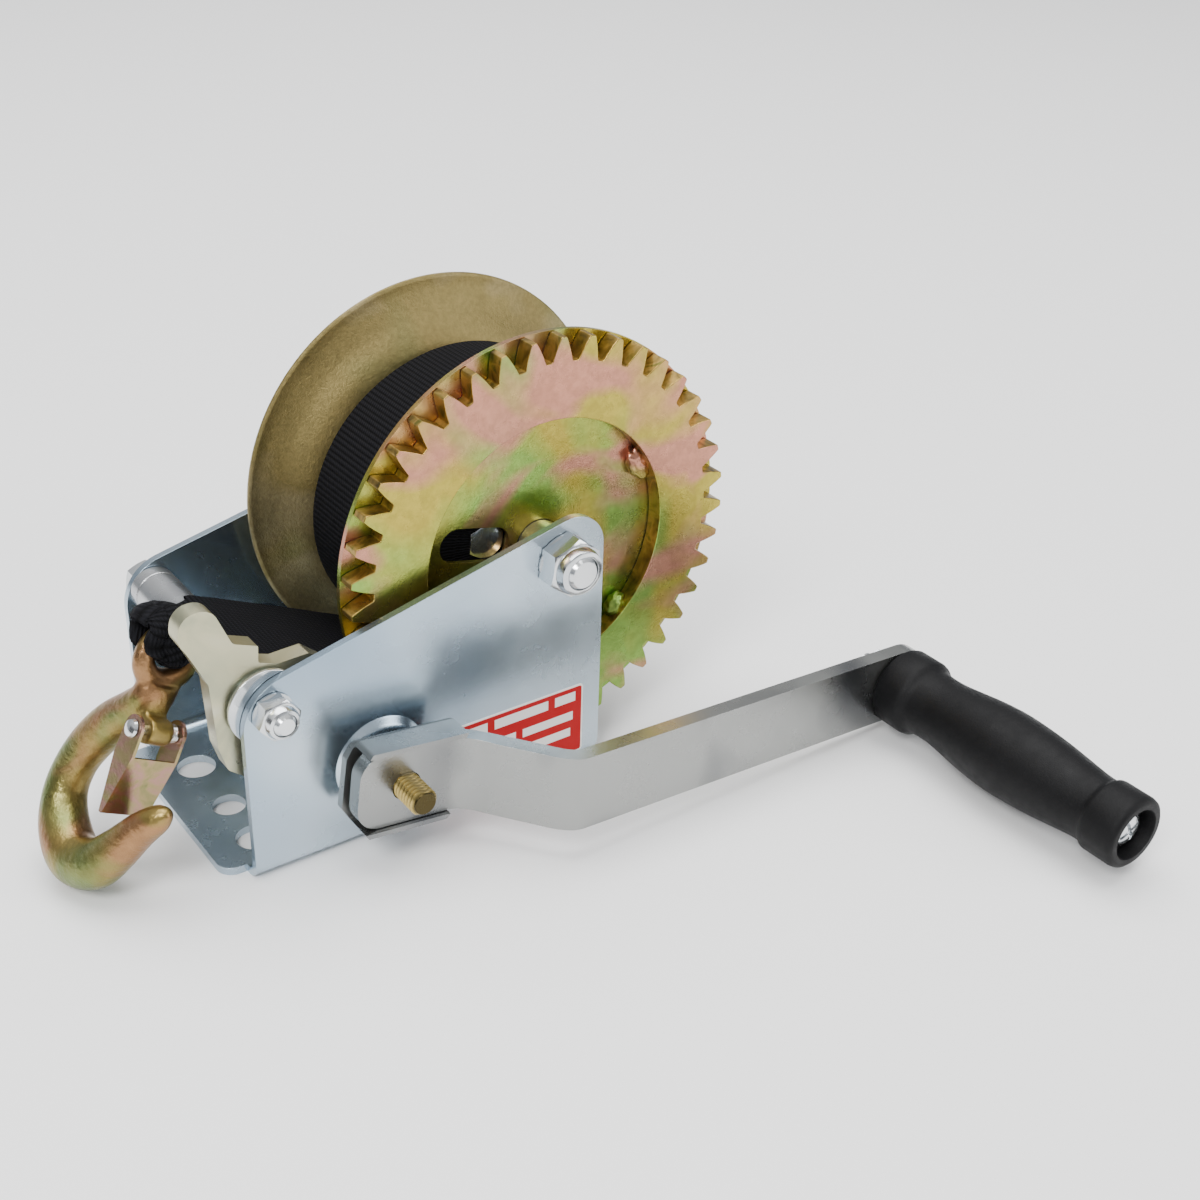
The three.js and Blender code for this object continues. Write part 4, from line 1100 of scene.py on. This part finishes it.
def build_arm():
    """A flat bar that steps out from the shaft to the grip, and whose edges turn a little at the kink."""
    bend_start, bend_end, steps = 16, 52, 40
    face = [(-30, ARM_IN)]
    for k in range(steps + 1):
        along = bend_start + (bend_end - bend_start) * k / steps
        face.append((along, ARM_IN + (ARM_OUT - ARM_IN) * eased_ramp(k / steps)))
    face.append((CRANK + ARM_WIDE, ARM_OUT))
    back = []
    for i, point in enumerate(offset(face, ARM_THICK)):
        (a0, b0), (a1, b1) = beside(face, i)
        # Points that a tight bend folds back are left out.
        if not back or (point[0] - back[-1][0]) * (a1 - a0) + (point[1] - back[-1][1]) * (b1 - b0) > 0.05:
            back.append(point)
    # The outline is drawn along the arm and along Y, and runs across the arm.
    place = Matrix.Translation(SHAFT) @ Matrix(((1, 0, 0), (0, 0, 1), (0, -1, 0))).to_4x4()
    o = slab("crank_arm_look", face + back[::-1], -30, 30, place=place)
    tilted(o, CRANK_ANGLE)
    half = ARM_WIDE / 2
    root, tip = Vector((SHAFT.x, SHAFT.z)), Vector((GRIP.x, GRIP.z))
    kink = root + 29 * Vector((math.cos(TILT), math.sin(TILT)))
    outer = math.atan2(tip.y - kink.y, tip.x - kink.x)
    middle = (TILT + outer) / 2

    def off(c, along, across, tilt):
        return tuple(c + Matrix.Rotation(tilt, 2) @ Vector((along, across)))

    front = rounded([
        (*off(root, -18, -half, TILT), 9), off(kink, 0, -half, middle),
        (*off(tip, half, -half, outer), half - 0.1), (*off(tip, half, half, outer), half - 0.1),
        off(kink, 0, half, middle), (*off(root, -18, half, TILT), 9),
    ], 20)
    combine(o, slab("front", front, ARM_OUT - 5, ARM_IN + 12), "INTERSECT")
    hole = combine(rod("hole", SHAFT, -80, -50, 5.3), flatted("flats", -82, -48, 4.3), "INTERSECT")
    cut(o, hole)
    put(o, ARM, "crank_arm", 0.6, 34)


build_arm()


# ---------- Grip ----------

BOLT_HEAD = 3.0  # how high the grip bolt's head is


def build_grip():
    """A turned handle, open at its end round the bolt's head."""
    end, start = span("grip")
    length = start - end
    floor = span("grip_bolt")[0] + BOLT_HEAD + 0.3
    body = smooth_path([
        (13.2, 16), (12.9, 20), (13.1, 26), (14.2, 35), (15.3, 44), (15.9, 54),
        (15.6, 64), (14.8, 74), (13.6, 84), (12.6, 92), (12.4, 97),
    ], 5)
    collar = [(14.2, 0), (14.9, 0.3), (15.4, 1.4), (15.4, 11.2), (15.1, 12.4), (14.2, 13.6), (13.5, 14.8)]
    cap = [(12.9, 98.2), (13.6, 99), (13.8, 100), (13.8, 110.4), (13.4, 112), (12.4, 112.8), (11.6, length)]
    deep = start - floor
    bore = [(9.9, length), (9.6, length - 0.4), (9.6, deep), (4.3, deep), (4.3, 0)]
    o = turned("grip_look", GRIP, [(r, start - along) for r, along in collar + body + cap + bore], 96)
    put(o, PLASTIC, "grip", 0.0, 38)


build_grip()


def build_grip_bolt():
    """A bolt with a domed, cross-slotted head."""
    seat = span("grip_bolt")[0] + BOLT_HEAD
    dome = [(0, 0), (7, 0), (7, 0.6), (6.4, 1.7), (5, 2.5), (3, 2.95), (0, BOLT_HEAD)]
    head = turned("head", GRIP, [(r, seat - high) for r, high in dome])
    reach, half, depth = 4.6, 0.75, 1.4
    c = Vector((GRIP.x, GRIP.z))
    for angle in (25, 115):
        turn = Matrix.Rotation(math.radians(angle), 2)
        bar = [tuple(c + turn @ Vector(p)) for p in rectangle(-reach, reach, -half, half)]
        cut(head, slab("slot", bar, seat - 4, seat - depth))
    shank = rod("shank", GRIP, seat - 0.5, -80, 4)
    put(join("grip_bolt_look", [head, shank]), BRIGHT, "grip_bolt", 0.12)


build_grip_bolt()
plain_nut("grip_nut", GRIP, 14, 12)


# ---------- Hook ----------

# The hook's bar, from the eye round the bowl to the tip: (X, Z, half width, half depth) in the hook's frame.
HOOK_BAR = [
    (1, -9, 5.5, 7.6), (0, -15.5, 6.2, 7.6), (-5.4, -22, 7, 7.4), (-13.8, -30.5, 7.6, 7.2),
    (-20.3, -40.2, 7.6, 7), (-24.1, -50.5, 7.2, 7), (-23.8, -61, 7.6, 7.4), (-17.6, -70.2, 8.8, 8.4),
    (-6.6, -75.8, 9.2, 8.8), (5, -72.8, 8.6, 8.4), (12.4, -64.4, 7.4, 7.2), (19.3, -54, 6, 6),
    (25.6, -46.6, 4.8, 4.8), (28.6, -43.4, 3, 3),
]
HOOK_TIP = [(29.6, -42.3, 1.9, 1.9), (29.9, -41.9, 0.7, 0.7)]
PIN = Vector((PIVOT[0], 0, PIVOT[1]))
LATCH_HALF = 8.9  # half the latch's width


def hook_bar():
    stations = smooth_path(HOOK_BAR, 8) + HOOK_TIP
    rings = []
    for i, (x, z, flat, deep) in enumerate(stations):
        before, after = beside(stations, i)
        run = Vector((after[0] - before[0], 0, after[1] - before[1])).normalized()
        out = Vector((run.z, 0, -run.x))
        rings.append(oval(Vector((x, 0, z)), out * flat, Vector((0, deep, 0)), 32))
    return loft("bar", rings)


def hook_eye():
    """The eye, a ring about X that is thicker towards the bowl."""
    points = []
    rows, count = 64, 24
    for i in range(rows):
        a = 2 * math.pi * i / rows
        thick = EYE_BAR + 0.3 + 0.9 * max(0.0, -math.sin(a))
        way = Vector((0, math.cos(a), math.sin(a)))
        points += oval(EYE_R * way, thick * way, Vector((thick, 0, 0)), count)
    return outward(raw("eye", points, strips(rows, count, True)))


def build_hook():
    """The forging: bar, eye, knob for the latch's pin and neck, remeshed into one smooth skin."""
    bar = hook_bar()
    hole = rod("hole", Vector((0, 0, 0)), -20, 20, EYE_R - EYE_BAR)
    hole.data.transform(Matrix.Rotation(math.pi / 2, 4, "Z"))
    cut(bar, hole)
    knob = rod("knob", PIN, -4.2, 4.2, 4.6)
    neck = slab("neck", rectangle(-2, 6, -25, -16), -4.2, 4.2)
    o = join("hook_forging", [bar, hook_eye(), knob, neck])
    remesh = o.modifiers.new("remesh", "REMESH")
    remesh.mode = "VOXEL"
    remesh.voxel_size = 0.0007
    smooth = o.modifiers.new("smooth", "SMOOTH")
    smooth.factor = 0.5
    smooth.iterations = 7
    baked(o)
    o.data.transform(HOOK_METRES)
    piece(o, "hook", HOOK_ZINC, "hook", angle=180)


build_hook()


def build_latch():
    """A folded tongue with its two cheeks on the pin."""
    x, z = PIVOT
    inside = LATCH_HALF - 1.1
    side = rounded([
        (x - 4.6, z + 4.6, 4.5), (x + 4.6, z + 4.6, 4.5), (x + 5.2, z - 8), (x + 0.9, z - 29.6, 0.5),
        (x - 0.7, z - 29.6, 0.5), (x - 4.6, z - 10),
    ], 12)
    o = slab("latch_look", side, -LATCH_HALF, LATCH_HALF)
    hollow = [(x - 12, z + 12), (x + 4.1, z + 12), (x + 4.1, z - 8), (x - 0.4, z - 31), (x - 12, z - 31)]
    cut(o, slab("hollow", hollow, -inside, inside))
    cut(o, slab("mouth", rectangle(x, x + 8, z - 8.2, z + 8), -inside, inside))
    cut(o, rod("pin", PIN, -12, 12, 2.1))
    o.data.transform(HOOK_METRES)
    put(o, LATCH, "latch", 0.3, 34)


build_latch()
head = LATCH_HALF + 0.3
round_end = [(3.1, head), (2.7, head + 0.9), (1.6, head + 1.4), (0, head + 1.5)]
rivet = [(r, -y) for r, y in round_end[::-1]] + [(1.8, -head), (1.8, head)] + round_end
put(turned("latch_pin_look", PIN, rivet, 48, HOOK), BRIGHT, "latch_pin", 0, 30)
spring = wire("latch_spring_wire", [HOOK @ p for p in coil(PIN, 2.75, 4.9, 7.2, 3)], 0.4, 10)
put(spring, BRIGHT, "latch_spring", 0, 60)


# ---------- Floor, cards and sky ----------

def build_floor():
    half = 20000
    floor = raw("floor", [(x, y, 0) for x, y in rectangle(-half, half, -half, half)], [(0, 1, 2, 3)])
    floor.data.materials.append(FLOOR_PAINT)


def card(name, place, size):
    """A dark card that faces the middle of the set, seen only where bright metal mirrors it."""
    half, high = size[0] / 2 / MM, size[1] / MM
    o = raw(name, [(x, 0, z) for x, z in rectangle(-half, half, 0, high)], [(0, 1, 2, 3)])
    o.location = place
    o.rotation_euler = (0, 0, math.atan2(place[1], place[0]) - math.pi / 2)
    o.visible_camera = o.visible_shadow = o.visible_diffuse = False
    o.data.materials.append(DARK)


def build_sky():
    """A soft grey sky that brightens towards the zenith."""
    world = bpy.data.worlds.new("studio")
    world.use_nodes = True
    nodes, link = world.node_tree.nodes, world.node_tree.links.new
    way = nodes.new("ShaderNodeTexCoord")
    turn = nodes.new("ShaderNodeMapping")
    turn.inputs["Rotation"].default_value = (0, math.pi / 2, 0)
    rise = nodes.new("ShaderNodeTexGradient")
    look = nodes.new("ShaderNodeValToRGB")
    low, high = look.color_ramp.elements
    low.position, low.color = 0.0, (0.30, 0.33, 0.37, 1)
    high.position, high.color = 0.75, (1, 1, 1, 1)
    link(way.outputs["Generated"], turn.inputs["Vector"])
    link(turn.outputs["Vector"], rise.inputs["Vector"])
    link(rise.outputs["Fac"], look.inputs["Fac"])
    link(look.outputs["Color"], nodes["Background"].inputs["Color"])
    nodes["Background"].inputs["Strength"].default_value = 0.8
    bpy.context.scene.world = world


build_floor()
card("flag_left", (-1.35, 0.25, 0.0), (0.9, 0.7))
card("flag_right", (1.1, -0.55, 0.0), (0.5, 0.45))
card("flag_front", (-0.35, -1.35, 0.0), (0.6, 0.40))
build_sky()
